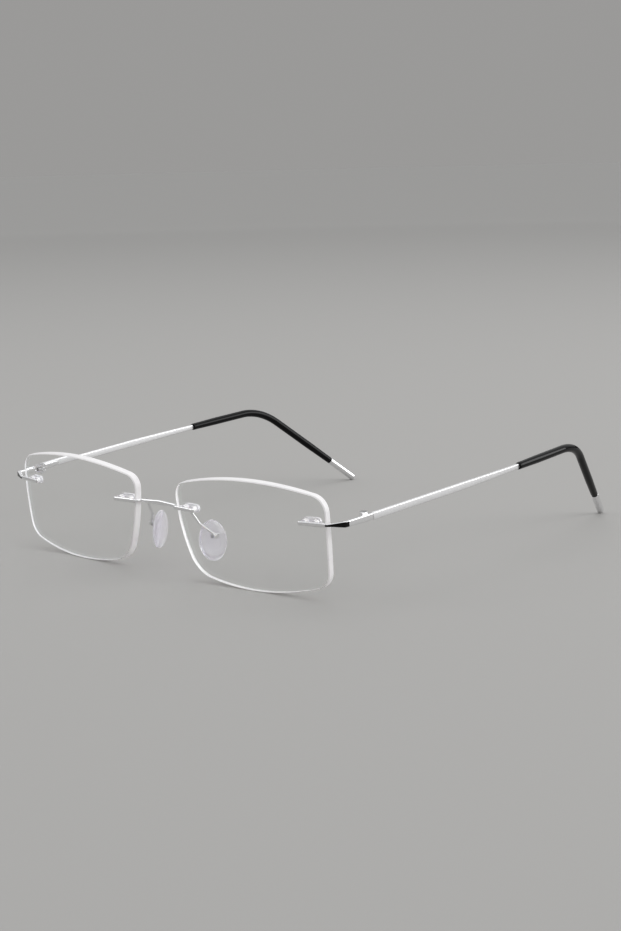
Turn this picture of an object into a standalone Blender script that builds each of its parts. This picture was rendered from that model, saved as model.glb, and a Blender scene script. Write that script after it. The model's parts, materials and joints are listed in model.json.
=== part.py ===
"""Rimless reading glasses with drilled lenses, folding temples and rocking nose pads.

Each lens is held only by metal posts that pass through its two pairs of holes into clear plastic
bushings. The bridge carries the nasal posts and the pad arms, and each endpiece carries the temporal
posts and one half of a hinge. The glasses stand open on a table, on the lower edges of the lenses and
on the caps of the temples. X runs to the wearer's left, Y runs back along the temples and Z is up.
The left half is modelled and the right half is its mirror image. Lengths are in metres.
"""

import math

import bmesh
import bpy
from mathutils import Matrix, Vector

# Lens outline, in the plane of the lens
LENS_WIDTH = 0.0530
LENS_HEIGHT = 0.0310
TOP_BOW = 0.0034
BOTTOM_BOW = 0.0032
NASAL_BOW = 0.0016
TEMPORAL_BOW = 0.0005
TOP_RISE = 0.0008
BOTTOM_RISE = 0.0014
NASAL_TAPER = 0.0065
TEMPORAL_TAPER = 0.0005
TOP_NASAL_CORNER = 0.0034
TOP_TEMPORAL_CORNER = 0.0038
BOTTOM_TEMPORAL_CORNER = 0.0036
BOTTOM_NASAL_CORNER = 0.0043
CORNER_FULLNESS = 0.6

# Lens body
LENS_THICKNESS = 0.0030
FRONT_CURVE_RADIUS = 0.170
BACK_CURVE_RADIUS = 0.250
OPTICAL_INSET = 0.0030
EDGE_CHAMFER = 0.00025

# Stance of the lenses
LENS_GAP = 0.0159
LENS_WRAP_DEG = 2.6
LENS_TILT_DEG = 5.5

# Mounts: two posts each, in bushings through the lens
NASAL_MOUNT_HEIGHT = 0.0052
NASAL_FIRST_POST = 0.0028
NASAL_POST_PITCH = 0.0035
TEMPORAL_MOUNT_HEIGHT = 0.0058
TEMPORAL_FIRST_POST = 0.0037
TEMPORAL_POST_PITCH = 0.0031
BAR_OVERRUN = 0.0013
BAR_HEIGHT = 0.00120
BAR_THICKNESS = 0.00090
POST_RADIUS = 0.00045
POST_PROUD = 0.00020
BUSHING_RADIUS = 0.00080
BUSHING_HEAD_RADIUS = 0.00115
BUSHING_HEAD_THICKNESS = 0.00085

# Clearances
SEAT_GAP = 0.00010
BORE_CLEARANCE = 0.00006
HINGE_CLEARANCE = 0.00012
BUTT_GAP = 0.00010

# Bridge
WRAP_CLEARANCE = 0.00035
BRIDGE_SETBACK = 0.0018
BRIDGE_BOW = 0.0004
BRIDGE_BOW_RADIUS = 0.030
WRAP_HEIGHT = 0.00090
BRIDGE_HEIGHT = 0.00130
WRAP_RADIUS = 0.0009

# Endpieces
ENDPIECE_REACH = 0.0049
ENDPIECE_SWEEP = 0.0024
ENDPIECE_SIDE_LENGTH = 0.0110
ENDPIECE_RISE = 0.0008
NECK_HEIGHT = 0.00080
CORNER_HEIGHT = 0.00170
SIDE_HEIGHT = 0.00190
CORNER_RADIUS = 0.0008
STRIP_THICKNESS = 0.00110
STRIP_HEIGHT = 0.00205
STRIP_BEVEL_SHARE = 0.28

# Temples
TEMPLE_LENGTH = 0.1412
TEMPLE_BEND_AT = 0.0957
TEMPLE_RISE_DEG = 3.6
TEMPLE_CONVERGE_DEG = 0.3
TEMPLE_BOW = 0.0019
TEMPLE_BOW_SHARE = 0.6
TEMPLE_BOW_RADIUS = 0.70
TEMPLE_TOE_IN_DEG = 21.2
TEMPLE_BEND_RADIUS = 0.020
THIN_STRIP_HEIGHT = 0.00150
THIN_STRIP_THICKNESS = 0.00100
TAPER_START = 0.038
TAPER_END = 0.062
CORE_RADIUS = 0.00050
SLEEVE_LENGTH = 0.0643
SLEEVE_RADIUS = 0.00122
SLEEVE_END_RADIUS = 0.00108
SLEEVE_SWELL_LENGTH = 0.010
SLEEVE_SOFTENING = 0.0003
CAP_LENGTH = 0.0117
CAP_RADIUS = 0.00116
CAP_ROUNDING = 0.00070
CORE_DEPTH_IN_CAP = 0.0060

# Hinges, one on the inner side of each joint
KNUCKLE_RADIUS = 0.00115
KNUCKLE_HEIGHT = 0.00080
LEAF_THICKNESS = 0.00055
LEAF_LENGTH = 0.0058
LEAF_HEIGHT = 0.0014
HINGE_AHEAD_OF_JOINT = 0.0012
HINGE_RAISE = -0.0001
SCREW_RADIUS = 0.00050
SCREW_HEAD_RADIUS = 0.00080
SCREW_HEAD_HEIGHT = 0.00034
SCREW_SLOT_WIDTH = 0.00025
SCREW_SLOT_DEPTH = 0.00020

# Nose pads
PAD_LENGTH = 0.0115
PAD_WIDTH = 0.0084
PAD_FRONT_BULGE = 0.0010
PAD_BEARING_BULGE = 0.0014
PAD_SPREAD = 0.0232
PAD_SETBACK = 0.0121
PAD_DROP = 0.0108
PAD_SPLAY_DEG = 19.0
PAD_FLARE_DEG = 7.0
PAD_PITCH_DEG = 4.0
PAD_SIDES = 20
PAD_PROFILE = [(-0.93, 0.42), (-0.74, 0.72), (-0.42, 0.93), (0.0, 1.0),
               (0.45, 0.93), (0.80, 0.72), (0.96, 0.42)]
INSERT_LENGTH = 0.0058
INSERT_WIDTH = 0.0040
INSERT_THICKNESS = 0.00050
LUG_THICKNESS = 0.00070
LUG_RADIUS = 0.00065
PIVOT_REACH = 0.0019
PIVOT_RAISE = 0.0015
BOX_CHEEK = 0.00040
BOX_BACK = 0.00045
BOX_PAD_GAP = 0.00035
PAD_SCREW_RADIUS = 0.00030
PAD_SCREW_HEAD_RADIUS = 0.00055
PAD_SCREW_HEAD_HEIGHT = 0.00030
ARM_RADIUS = 0.00042
ARM_ROOT = 0.0064
ARM_ROOT_DROP = 0.00020
ARM_KNEE_OUT = 0.0027
ARM_RUN_BACK = 0.0031
ARM_BEND_RADIUS = 0.0015
ARM_ELBOW_OUT = 0.0011
ARM_ELBOW_BACK = 0.0031
ARM_ELBOW_DROP = 0.0053

# Fineness of the meshes
ROUND_SIDES = 12
LENS_RINGS = 4
LONG_SIDE_STEPS = 11
SHORT_SIDE_STEPS = 5
CORNER_STEPS = 5
BEND_STEPS = 6
PATH_STEP = 0.0075
SHORTEST_STEP = 0.00004
DIRECTION_REACH = 0.0002
SETTLING_ROUNDS = 8

ACROSS_AXIS = Vector((1.0, 0.0, 0.0))
UP_AXIS = Vector((0.0, 0.0, 1.0))
MIRROR = Matrix.Diagonal((-1.0, 1.0, 1.0, 1.0))


def turn(degrees, axis):
    """A rotation about one of the world's axes."""
    return Matrix.Rotation(math.radians(degrees), 4, axis)


# Materials

def make_material(name, color, metallic, roughness, alpha=1.0):
    """One Principled material."""
    material = bpy.data.materials.new(name)
    material.use_nodes = True
    material.diffuse_color = (*color, alpha)
    shader = material.node_tree.nodes["Principled BSDF"]
    shader.inputs["Base Color"].default_value = (*color, 1.0)
    shader.inputs["Metallic"].default_value = metallic
    shader.inputs["Roughness"].default_value = roughness
    shader.inputs["Alpha"].default_value = alpha
    return material


def make_materials():
    """Every finish on the glasses, by a short name."""
    return {
        "lens": make_material("lens_glass", (0.90, 0.93, 0.93), 0.0, 0.02, 0.25),
        "polished": make_material("polished_silver", (0.78, 0.78, 0.79), 1.0, 0.12),
        "satin": make_material("satin_silver", (0.72, 0.72, 0.73), 1.0, 0.32),
        "screw": make_material("screw_steel", (0.62, 0.62, 0.63), 1.0, 0.25),
        "bushing": make_material("clear_bushing", (0.88, 0.86, 0.92), 0.0, 0.20, 0.6),
        "pad": make_material("clear_soft_pad", (0.80, 0.78, 0.84), 0.0, 0.30, 0.6),
        "sleeve": make_material("gloss_black", (0.01, 0.01, 0.012), 0.0, 0.15),
    }


# Mesh helpers

def mesh_from(vertices, faces):
    """A mesh whose faces are made to point outwards."""
    shape = bmesh.new()
    made = [shape.verts.new(vertex) for vertex in vertices]
    for face in faces:
        shape.faces.new([made[index] for index in face])
    bmesh.ops.recalc_face_normals(shape, faces=shape.faces)
    mesh = bpy.data.meshes.new("shape")
    shape.to_mesh(mesh)
    shape.free()
    if signed_volume(mesh) < 0.0:
        mesh.flip_normals()
    return mesh


def signed_volume(mesh):
    """The volume inside a closed mesh, negative when its faces point inwards."""
    mesh.calc_loop_triangles()
    total = 0.0
    for triangle in mesh.loop_triangles:
        a, b, c = (mesh.vertices[index].co for index in triangle.vertices)
        total += a.dot(b.cross(c)) / 6.0
    return total


def loft(rings, closed=False):
    """Skins equal rings of points. An open loft gets a flat cap on each end."""
    count = len(rings[0])
    vertices = [point for ring in rings for point in ring]
    faces = []
    last = len(rings) if closed else len(rings) - 1
    for row in range(last):
        after = (row + 1) % len(rings)
        for column in range(count):
            beside = (column + 1) % count
            faces.append((row * count + column, row * count + beside,
                          after * count + beside, after * count + column))
    if not closed:
        faces.append(tuple(range(count)))
        faces.append(tuple(range((len(rings) - 1) * count, len(rings) * count)))
    return mesh_from(vertices, faces)


def prism(outline, low, high, place):
    """Extrudes a plane outline from low to high along Z, then puts it in its place."""
    rings = [[place @ Vector((x, y, level)) for x, y in outline] for level in (low, high)]
    return loft(rings)


def circle(radius, sides=ROUND_SIDES):
    """A regular polygon about the origin."""
    step = 2.0 * math.pi / sides
    return [(radius * math.cos(step * (k + 0.5)), radius * math.sin(step * (k + 0.5))) for k in range(sides)]


def slot_outline(length, radius, sides=ROUND_SIDES):
    """A rectangle with round ends, long in X, about the origin."""
    half = sides // 2
    points = []
    for direction in (1.0, -1.0):
        for k in range(half + 1):
            angle = -math.pi / 2 + math.pi * k / half
            points.append((direction * (length / 2 + radius * math.cos(angle)),
                           direction * radius * math.sin(angle)))
    return points


def rectangle(low_x, high_x, low_y, high_y):
    """The corners of a rectangle."""
    return [(low_x, low_y), (high_x, low_y), (high_x, high_y), (low_x, high_y)]


def boolean(body, others, operation):
    """Joins other meshes to a mesh or cuts them from it, one after another."""
    target = bpy.data.objects.new("target", body)
    bpy.context.collection.objects.link(target)
    helpers = []
    for number, other in enumerate(others):
        helper = bpy.data.objects.new(f"helper_{number}", other)
        bpy.context.collection.objects.link(helper)
        helpers.append(helper)
        modifier = target.modifiers.new(f"{operation}_{number}", "BOOLEAN")
        modifier.object = helper
        modifier.operation = operation
        modifier.solver = "EXACT"
    graph = bpy.context.evaluated_depsgraph_get()
    result = bpy.data.meshes.new_from_object(target.evaluated_get(graph))
    for used in [target, *helpers]:
        bpy.data.objects.remove(used)
    return result


def join(body, *others):
    """One body from meshes that overlap."""
    return boolean(body, others, "UNION")


def cut(body, *others):
    """The body without the space of the other meshes."""
    return boolean(body, others, "DIFFERENCE")


# Paths and sweeps

def fillet_path(points, radii):
    """A polyline through the points, with an arc of the given radius at each inner point."""
    path = [points[0].copy()]
    for before, corner, after, radius in zip(points, points[1:], points[2:], radii):
        back = (before - corner).normalized()
        on = (after - corner).normalized()
        half_angle = back.angle(on) / 2.0
        reach = radius / math.tan(half_angle)
        centre = corner + (back + on).normalized() * (radius / math.sin(half_angle))
        start = corner + back * reach - centre
        end = corner + on * reach - centre
        sweep = start.angle(end)
        for k in range(BEND_STEPS + 1):
            done = sweep * k / BEND_STEPS
            arm = (start * math.sin(sweep - done) + end * math.sin(done)) / math.sin(sweep)
            path.append(centre + arm)
    path.append(points[-1].copy())
    return path


def lengths_along(path):
    """The distance of each point of a path from its start."""
    along = [0.0]
    for start, end in zip(path, path[1:]):
        along.append(along[-1] + (end - start).length)
    return along


def point_on(path, along, distance):
    """The point of a path at a distance from its start."""
    for index in range(len(path) - 1):
        if distance <= along[index + 1] or index == len(path) - 2:
            step = along[index + 1] - along[index]
            return path[index].lerp(path[index + 1], (distance - along[index]) / step)
    return path[-1].copy()


def direction_on(path, along, distance):
    """The direction of a path at a distance from its start, softened over the points beside it."""
    before = point_on(path, along, max(0.0, distance - DIRECTION_REACH))
    after = point_on(path, along, min(along[-1], distance + DIRECTION_REACH))
    return (after - before).normalized()


def stops_on(along, start, end, extra=()):
    """Distances between start and end: each point of the path, the extra ones, and none too far apart."""
    wanted = sorted({start, end, *extra, *[d for d in along if start < d < end]})
    wanted = [d for k, d in enumerate(wanted) if k == 0 or d - wanted[k - 1] > SHORTEST_STEP]
    wanted[-1] = end
    stops = [wanted[0]]
    for stop in wanted[1:]:
        pieces = max(1, math.ceil((stop - stops[-1]) / PATH_STEP))
        first = stops[-1]
        stops += [first + (stop - first) * (k + 1) / pieces for k in range(pieces)]
    return stops


def between(distance, table):
    """Reads a value from rows of (distance, value), on straight lines between them."""
    if distance <= table[0][0]:
        return table[0][1]
    for (start, low), (end, high) in zip(table, table[1:]):
        if distance <= end:
            return low + (high - low) * (distance - start) / (end - start)
    return table[-1][1]


def section_points(point, direction, up, corners):
    """Puts the corners of a section square to a direction: across, then up."""
    across = direction.cross(up).normalized()
    upward = across.cross(direction).normalized()
    return [point + across * x + upward * z for x, z in corners]


def strip_section(thickness, height):
    """An eight-sided strip section: a rectangle with its corners cut."""
    x, z = thickness / 2, height / 2
    bevel = STRIP_BEVEL_SHARE * min(thickness, height)
    return [(x, z - bevel), (x - bevel, z), (bevel - x, z), (-x, z - bevel),
            (-x, bevel - z), (bevel - x, -z), (x - bevel, -z), (x, bevel - z)]


def blend_sections(first, second, share):
    """A section part of the way from one to another with as many corners."""
    return [(a[0] + (b[0] - a[0]) * share, a[1] + (b[1] - a[1]) * share) for a, b in zip(first, second)]


def eight_sided(radius):
    """A round section with as many corners as the strip's."""
    angles = [math.radians(22.5 + 45.0 * k) for k in range(8)]
    return [(radius * math.cos(angle), radius * math.sin(angle)) for angle in angles]


# Lenses

def outline_corners():
    """The corners of the lens outline before they are rounded: u to the temple, v up."""
    half_width, half_height = LENS_WIDTH / 2, LENS_HEIGHT / 2
    top, bottom = half_height - TOP_BOW, BOTTOM_BOW - half_height
    return [Vector((-half_width, top - TOP_RISE / 2)),
            Vector((half_width - TEMPORAL_BOW / 2, top + TOP_RISE / 2)),
            Vector((half_width - TEMPORAL_BOW / 2 - TEMPORAL_TAPER, bottom + BOTTOM_RISE / 2)),
            Vector((NASAL_TAPER - half_width, bottom - BOTTOM_RISE / 2))]


def lens_outline():
    """The edge of the lens: four bowed sides with rounded corners."""
    corners = outline_corners()
    bows = [TOP_BOW, TEMPORAL_BOW, BOTTOM_BOW, NASAL_BOW]
    setbacks = [TOP_NASAL_CORNER, TOP_TEMPORAL_CORNER, BOTTOM_TEMPORAL_CORNER, BOTTOM_NASAL_CORNER]
    steps = [LONG_SIDE_STEPS, SHORT_SIDE_STEPS, LONG_SIDE_STEPS, SHORT_SIDE_STEPS]

    def on_side(side, share):
        start, end = corners[side], corners[(side + 1) % 4]
        run = end - start
        outward = Vector((-run.y, run.x)).normalized()
        return start + run * share + outward * (4.0 * bows[side] * share * (1.0 - share))

    def shares(side):
        run = (corners[(side + 1) % 4] - corners[side]).length
        return setbacks[side] / run, 1.0 - setbacks[(side + 1) % 4] / run

    points = []
    for side in range(4):
        first, last = shares(side)
        points += [on_side(side, first + (last - first) * k / steps[side]) for k in range(steps[side] + 1)]
        after = (side + 1) % 4
        start, end, corner = on_side(side, last), on_side(after, shares(after)[0]), corners[after]
        lead_out, lead_in = start.lerp(corner, CORNER_FULLNESS), end.lerp(corner, CORNER_FULLNESS)
        for k in range(1, CORNER_STEPS):
            t = k / CORNER_STEPS
            s = 1.0 - t
            points.append(start * s**3 + lead_out * (3 * s * s * t) + lead_in * (3 * s * t * t) + end * t**3)
    return points


def sag(radius, distance_squared):
    """How far a sphere falls away from its top at a distance from its axis."""
    return radius - math.sqrt(radius * radius - distance_squared)


def front_depth(u, v):
    """Depth of the front surface behind the middle of the outline."""
    fall = sag(FRONT_CURVE_RADIUS, (u + OPTICAL_INSET) ** 2 + v * v)
    return fall - sag(FRONT_CURVE_RADIUS, OPTICAL_INSET**2)


def back_depth(u, v):
    """Depth of the back surface. The lens is thickest at its optical centre, as a reading lens is."""
    fall = sag(BACK_CURVE_RADIUS, (u + OPTICAL_INSET) ** 2 + v * v)
    return LENS_THICKNESS - sag(FRONT_CURVE_RADIUS, OPTICAL_INSET**2) + fall


def inset(outline, amount):
    """The outline drawn in along its normals."""
    drawn = []
    for index, point in enumerate(outline):
        run = outline[(index + 1) % len(outline)] - outline[index - 1]
        drawn.append(point + Vector((run.y, -run.x)).normalized() * amount)
    return drawn


def lens_blank(outline):
    """The lens before drilling, in its own frame: x to the temple, y back, z up."""
    rim = inset(outline, EDGE_CHAMFER)
    scales = [(k + 1) / LENS_RINGS for k in range(LENS_RINGS)]
    rings = [[Vector((p.x * s, front_depth(p.x * s, p.y * s), p.y * s)) for p in rim] for s in scales]
    rings.append([Vector((p.x, front_depth(p.x, p.y) + EDGE_CHAMFER, p.y)) for p in outline])
    rings.append([Vector((p.x, back_depth(p.x, p.y) - EDGE_CHAMFER, p.y)) for p in outline])
    rings += [[Vector((p.x * s, back_depth(p.x * s, p.y * s), p.y * s)) for p in rim]
              for s in reversed(scales)]
    count = len(outline)
    vertices = [point for ring in rings for point in ring]
    vertices += [Vector((0.0, front_depth(0.0, 0.0), 0.0)), Vector((0.0, back_depth(0.0, 0.0), 0.0))]
    faces = []
    for row in range(len(rings) - 1):
        for column in range(count):
            beside = (column + 1) % count
            faces.append((row * count + column, row * count + beside,
                          (row + 1) * count + beside, (row + 1) * count + column))
    last_row = (len(rings) - 1) * count
    for column in range(count):
        beside = (column + 1) % count
        faces.append((len(vertices) - 2, beside, column))
        faces.append((len(vertices) - 1, last_row + column, last_row + beside))
    return mesh_from(vertices, faces)


def edge_reach(outline, height, direction):
    """How far the lens edge lies from the middle at a height, on the nasal (-1) or temporal (+1) side."""
    found = []
    for start, end in zip(outline, outline[1:] + outline[:1]):
        if (start.y - height) * (end.y - height) <= 0.0 and start.y != end.y:
            share = (height - start.y) / (end.y - start.y)
            found.append(start.x + (end.x - start.x) * share)
    return max(found) if direction > 0 else min(found)


def surface_frame(u, v):
    """A frame on the front surface: x to the temple, y into the lens, z up."""
    inward = Vector((-(u + OPTICAL_INSET), 0.0, -v)) / FRONT_CURVE_RADIUS
    inward.y = math.sqrt(1.0 - inward.length_squared)
    sideways = (ACROSS_AXIS - inward * ACROSS_AXIS.dot(inward)).normalized()
    upward = sideways.cross(inward)
    frame = Matrix((sideways, inward, upward)).transposed().to_4x4()
    return Matrix.Translation((u, front_depth(u, v), v)) @ frame


class Mount:
    """Two posts in a lens: their frame, the distances along it and the depth of the bushing's head."""

    def __init__(self, outline, lens_place, height, direction, first_post, pitch):
        edge = edge_reach(outline, height, direction)
        middle = edge - direction * (first_post + pitch / 2)
        local = surface_frame(middle, height)
        self.place = lens_place @ local
        self.pitch = pitch
        self.edge = direction * (first_post + pitch / 2)
        self.end = -direction * (pitch / 2 + BAR_OVERRUN)
        self.posts = [-pitch / 2, pitch / 2]
        to_local = local.inverted()
        reach = pitch / 2 + BUSHING_HEAD_RADIUS
        depths = []
        for x in (-reach, reach):
            for z in (-BUSHING_HEAD_RADIUS, BUSHING_HEAD_RADIUS):
                seen = local @ Vector((x, 0.0, z))
                depths.append((to_local @ Vector((seen.x, back_depth(seen.x, seen.z), seen.z))).y)
        self.head_start = max(depths) + SEAT_GAP
        self.head_end = self.head_start + BUSHING_HEAD_THICKNESS

    def cylinder(self, x, radius, start, end):
        """A round pin through the lens at a distance along the mount, from one depth to another."""
        into = self.place @ Matrix.Translation((x, 0.0, 0.0)) @ turn(-90.0, "X")
        return prism(circle(radius), start, end, into)

    def bar_point(self, x):
        """A point on the centre line of the bar, in front of the lens."""
        return self.place @ Vector((x, -SEAT_GAP - BAR_THICKNESS / 2, 0.0))

    def up(self):
        """The direction across the bar."""
        return (self.place.to_3x3() @ UP_AXIS).normalized()

    def post_meshes(self):
        """The posts, from the middle of the bar to just past the bushing's head."""
        start = -SEAT_GAP - BAR_THICKNESS / 2
        return [self.cylinder(x, POST_RADIUS, start, self.head_end + POST_PROUD) for x in self.posts]

    def hole_meshes(self):
        """What the drill takes from the lens."""
        past = self.head_end
        return [self.cylinder(x, BUSHING_RADIUS + BORE_CLEARANCE, -past, past) for x in self.posts]

    def bushing(self):
        """The double sleeve: a head across the back of the lens and a tube through each hole."""
        flat = self.place @ turn(-90.0, "X")
        head = prism(slot_outline(self.pitch, BUSHING_HEAD_RADIUS), self.head_start, self.head_end, flat)
        tubes = [self.cylinder(x, BUSHING_RADIUS, SEAT_GAP, self.head_end - BUSHING_HEAD_THICKNESS / 2)
                 for x in self.posts]
        bores = [self.cylinder(x, POST_RADIUS + BORE_CLEARANCE, -self.head_end, 2 * self.head_end)
                 for x in self.posts]
        return cut(join(head, *tubes), *bores)


# Bridge and endpieces

def swept_strip(path, sizes, ups):
    """A strip along a path. Sizes are rows of (distance, thickness, height), and ups of (distance, up)."""
    along = lengths_along(path)
    rings = []
    for distance in stops_on(along, 0.0, along[-1], [row[0] for row in sizes]):
        thickness = between(distance, [(row[0], row[1]) for row in sizes])
        height = between(distance, [(row[0], row[2]) for row in sizes])
        up = between(distance, ups)
        rings.append(section_points(point_on(path, along, distance), direction_on(path, along, distance),
                                    up, strip_section(thickness, height)))
    return loft(rings)


def bridge_mesh(mount):
    """One bar from the left nasal mount to the right one, with its four posts."""
    bar_end = mount.bar_point(mount.end)
    corner = mount.bar_point(mount.edge - WRAP_CLEARANCE - BAR_THICKNESS / 2)
    shoulder = Vector((corner.x - WRAP_CLEARANCE, corner.y + BRIDGE_SETBACK, corner.z))
    middle = Vector((0.0, shoulder.y + BRIDGE_BOW, corner.z))
    half = [bar_end, corner, shoulder, middle]
    other = [MIRROR @ point for point in reversed(half[:-1])]
    path = fillet_path(half + other, [WRAP_RADIUS, WRAP_RADIUS, BRIDGE_BOW_RADIUS, WRAP_RADIUS, WRAP_RADIUS])
    total = lengths_along(path)[-1]
    at_corner = (corner - bar_end).length
    at_shoulder = at_corner + (shoulder - corner).length
    half_sizes = [(0.0, BAR_THICKNESS, BAR_HEIGHT), (at_corner - WRAP_RADIUS, BAR_THICKNESS, BAR_HEIGHT),
                  (at_corner, BAR_THICKNESS, WRAP_HEIGHT), (at_shoulder, BAR_THICKNESS, WRAP_HEIGHT),
                  (total / 2, BAR_THICKNESS, BRIDGE_HEIGHT)]
    sizes = half_sizes + [(total - row[0], row[1], row[2]) for row in reversed(half_sizes[:-1])]
    left_up = mount.up()
    right_up = (MIRROR @ left_up).normalized()
    level_up = Vector((0.0, left_up.y, left_up.z)).normalized()
    ups = [(0.0, left_up), (at_corner, left_up), (total / 2, level_up),
           (total - at_corner, right_up), (total, right_up)]
    bar = swept_strip(path, sizes, ups)
    posts = mount.post_meshes()
    return join(bar, *posts, *[mirrored(post) for post in posts]), shoulder


def mirrored(mesh):
    """A copy of a mesh on the other side of the glasses."""
    copy = mesh.copy()
    copy.transform(MIRROR)
    copy.flip_normals()
    return copy


class Side:
    """Places on the left side that the endpiece, the hinge and the temple share."""

    def __init__(self, mount):
        self.mount = mount
        self.bar_end = mount.bar_point(mount.end)
        self.neck = mount.bar_point(mount.edge + BAR_THICKNESS)
        edge = mount.bar_point(mount.edge)
        self.corner = Vector((edge.x + ENDPIECE_REACH, edge.y + ENDPIECE_SWEEP, edge.z + ENDPIECE_RISE / 2))
        self.joint = Vector((self.corner.x, self.corner.y + ENDPIECE_SIDE_LENGTH, edge.z + ENDPIECE_RISE))
        axis_inset = STRIP_THICKNESS / 2 + HINGE_CLEARANCE + KNUCKLE_RADIUS
        self.hinge = Vector((self.joint.x - axis_inset, self.joint.y - HINGE_AHEAD_OF_JOINT,
                             self.joint.z + HINGE_RAISE))


def endpiece_mesh(side):
    """A bar on the lens, a neck past its edge, a corner and a side strip that ends at the joint."""
    points = [side.bar_end, side.neck, side.corner, side.joint]
    path = fillet_path(points, [2.0 * BAR_THICKNESS, CORNER_RADIUS])
    total = lengths_along(path)[-1]
    at_neck = (side.neck - side.bar_end).length
    at_corner = total - ENDPIECE_SIDE_LENGTH
    sizes = [(0.0, BAR_THICKNESS, BAR_HEIGHT), (at_neck - 2 * BAR_THICKNESS, BAR_THICKNESS, BAR_HEIGHT),
             (at_neck, BAR_THICKNESS, NECK_HEIGHT), (at_corner, STRIP_THICKNESS, CORNER_HEIGHT),
             (total, STRIP_THICKNESS, SIDE_HEIGHT)]
    ups = [(0.0, side.mount.up()), (at_neck, side.mount.up()), (at_corner, UP_AXIS), (total, UP_AXIS)]
    return join(swept_strip(path, sizes, ups), *side.mount.post_meshes())


# Hinges

def knuckle_outline(direction):
    """The end view of a knuckle and its web to a leaf, ahead of the axis (-1) or behind it (+1)."""
    arc_steps = ROUND_SIDES * 2 // 3
    points = []
    for k in range(arc_steps + 1):
        angle = math.radians(240.0 * k / arc_steps)
        points.append((KNUCKLE_RADIUS * math.cos(angle), KNUCKLE_RADIUS * math.sin(angle)))
    web = KNUCKLE_RADIUS + HINGE_CLEARANCE + LEAF_THICKNESS
    points.append((KNUCKLE_RADIUS - LEAF_THICKNESS, -web))
    points.append((KNUCKLE_RADIUS, -web))
    return [(x, -direction * y) for x, y in points]


def leaf_mesh(hinge, direction, levels):
    """A hinge leaf: a plate along its strip, with a rounded end and a knuckle on each of the given levels."""
    start = KNUCKLE_RADIUS + HINGE_CLEARANCE
    half = LEAF_HEIGHT / 2
    outline = [(start, -half), (start, half)]
    outline += [(start + LEAF_LENGTH - half + half * math.sin(math.radians(22.5 * k)),
                 half * math.cos(math.radians(22.5 * k))) for k in range(9)]
    slope = -ENDPIECE_RISE / 2 / ENDPIECE_SIDE_LENGTH
    if direction > 0:
        slope = math.tan(math.radians(TEMPLE_RISE_DEG))
    outline = [(x, z - HINGE_RAISE + slope * (x - direction * HINGE_AHEAD_OF_JOINT)) for x, z in outline]
    upright = Matrix(((0.0, 0.0, 1.0), (direction, 0.0, 0.0), (0.0, 1.0, 0.0))).to_4x4()
    place = Matrix.Translation(hinge)
    plate = prism(outline, KNUCKLE_RADIUS - LEAF_THICKNESS, KNUCKLE_RADIUS, place @ upright)
    knuckles = [prism(knuckle_outline(direction), low, high, place) for low, high in levels]
    bore = prism(circle(SCREW_RADIUS + BORE_CLEARANCE), -3 * KNUCKLE_HEIGHT, 3 * KNUCKLE_HEIGHT, place)
    seat = prism(circle(SCREW_HEAD_RADIUS + BORE_CLEARANCE), hinge_top() - SCREW_HEAD_HEIGHT - BORE_CLEARANCE,
                 3 * KNUCKLE_HEIGHT, place)
    return cut(join(plate, *knuckles), bore, seat)


def hinge_top():
    """The height of the top of the hinge above its middle."""
    return 1.5 * KNUCKLE_HEIGHT + HINGE_CLEARANCE


def hinge_levels():
    """The heights of the front leaf's two knuckles and of the temple leaf's one between them."""
    middle = KNUCKLE_HEIGHT / 2
    outer = middle + HINGE_CLEARANCE
    front = [(outer, outer + KNUCKLE_HEIGHT), (-outer - KNUCKLE_HEIGHT, -outer)]
    return front, [(-middle, middle)]


def hinge_screw_mesh(hinge):
    """A slotted screw down the axis of the hinge, with its head let into the top knuckle."""
    top = hinge_top()
    place = Matrix.Translation(hinge)
    shaft = prism(circle(SCREW_RADIUS), -top, top - SCREW_HEAD_HEIGHT / 2, place)
    head = prism(circle(SCREW_HEAD_RADIUS), top - SCREW_HEAD_HEIGHT, top, place)
    slot = prism(rectangle(-2 * SCREW_HEAD_RADIUS, 2 * SCREW_HEAD_RADIUS,
                           -SCREW_SLOT_WIDTH / 2, SCREW_SLOT_WIDTH / 2),
                 top - SCREW_SLOT_DEPTH, top + SCREW_HEAD_HEIGHT, place)
    return cut(join(shaft, head), slot)


# Temples

class TemplePath:
    """The centre line of a temple, from the joint over the ear bend to the tip on the table."""

    def __init__(self, joint):
        start = joint + Vector((0.0, BUTT_GAP, 0.0))
        rise = math.radians(TEMPLE_RISE_DEG)
        converge = math.radians(TEMPLE_CONVERGE_DEG)
        ahead = Vector((-math.sin(converge) * math.cos(rise), math.cos(converge) * math.cos(rise),
                        math.sin(rise)))
        bend = start + ahead * TEMPLE_BEND_AT
        drop_length = TEMPLE_LENGTH - TEMPLE_BEND_AT
        drop = 0.0
        for _ in range(SETTLING_ROUNDS):
            drop = math.asin((bend.z - rest_height(drop)) / drop_length)
        toe = math.radians(TEMPLE_TOE_IN_DEG)
        down = Vector((-math.sin(toe) * math.cos(drop), math.cos(toe) * math.cos(drop), -math.sin(drop)))
        tip = bend + down * drop_length
        middle = start.lerp(bend, TEMPLE_BOW_SHARE) + ACROSS_AXIS * TEMPLE_BOW
        self.points = fillet_path([start, middle, bend, tip], [TEMPLE_BOW_RADIUS, TEMPLE_BEND_RADIUS])
        self.along = lengths_along(self.points)
        self.total = self.along[-1]
        self.cap_start = self.total - CAP_LENGTH
        self.sleeve_start = self.cap_start - SEAT_GAP - SLEEVE_LENGTH

    def ring(self, distance, corners):
        """A section of the temple at a distance from the joint."""
        point = point_on(self.points, self.along, distance)
        direction = direction_on(self.points, self.along, distance)
        return section_points(point, direction, UP_AXIS, corners)

    def stops(self, start, end, extra=()):
        """Distances for rings between two places, with the extra ones among them."""
        return stops_on(self.along, start, end, extra)


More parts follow.
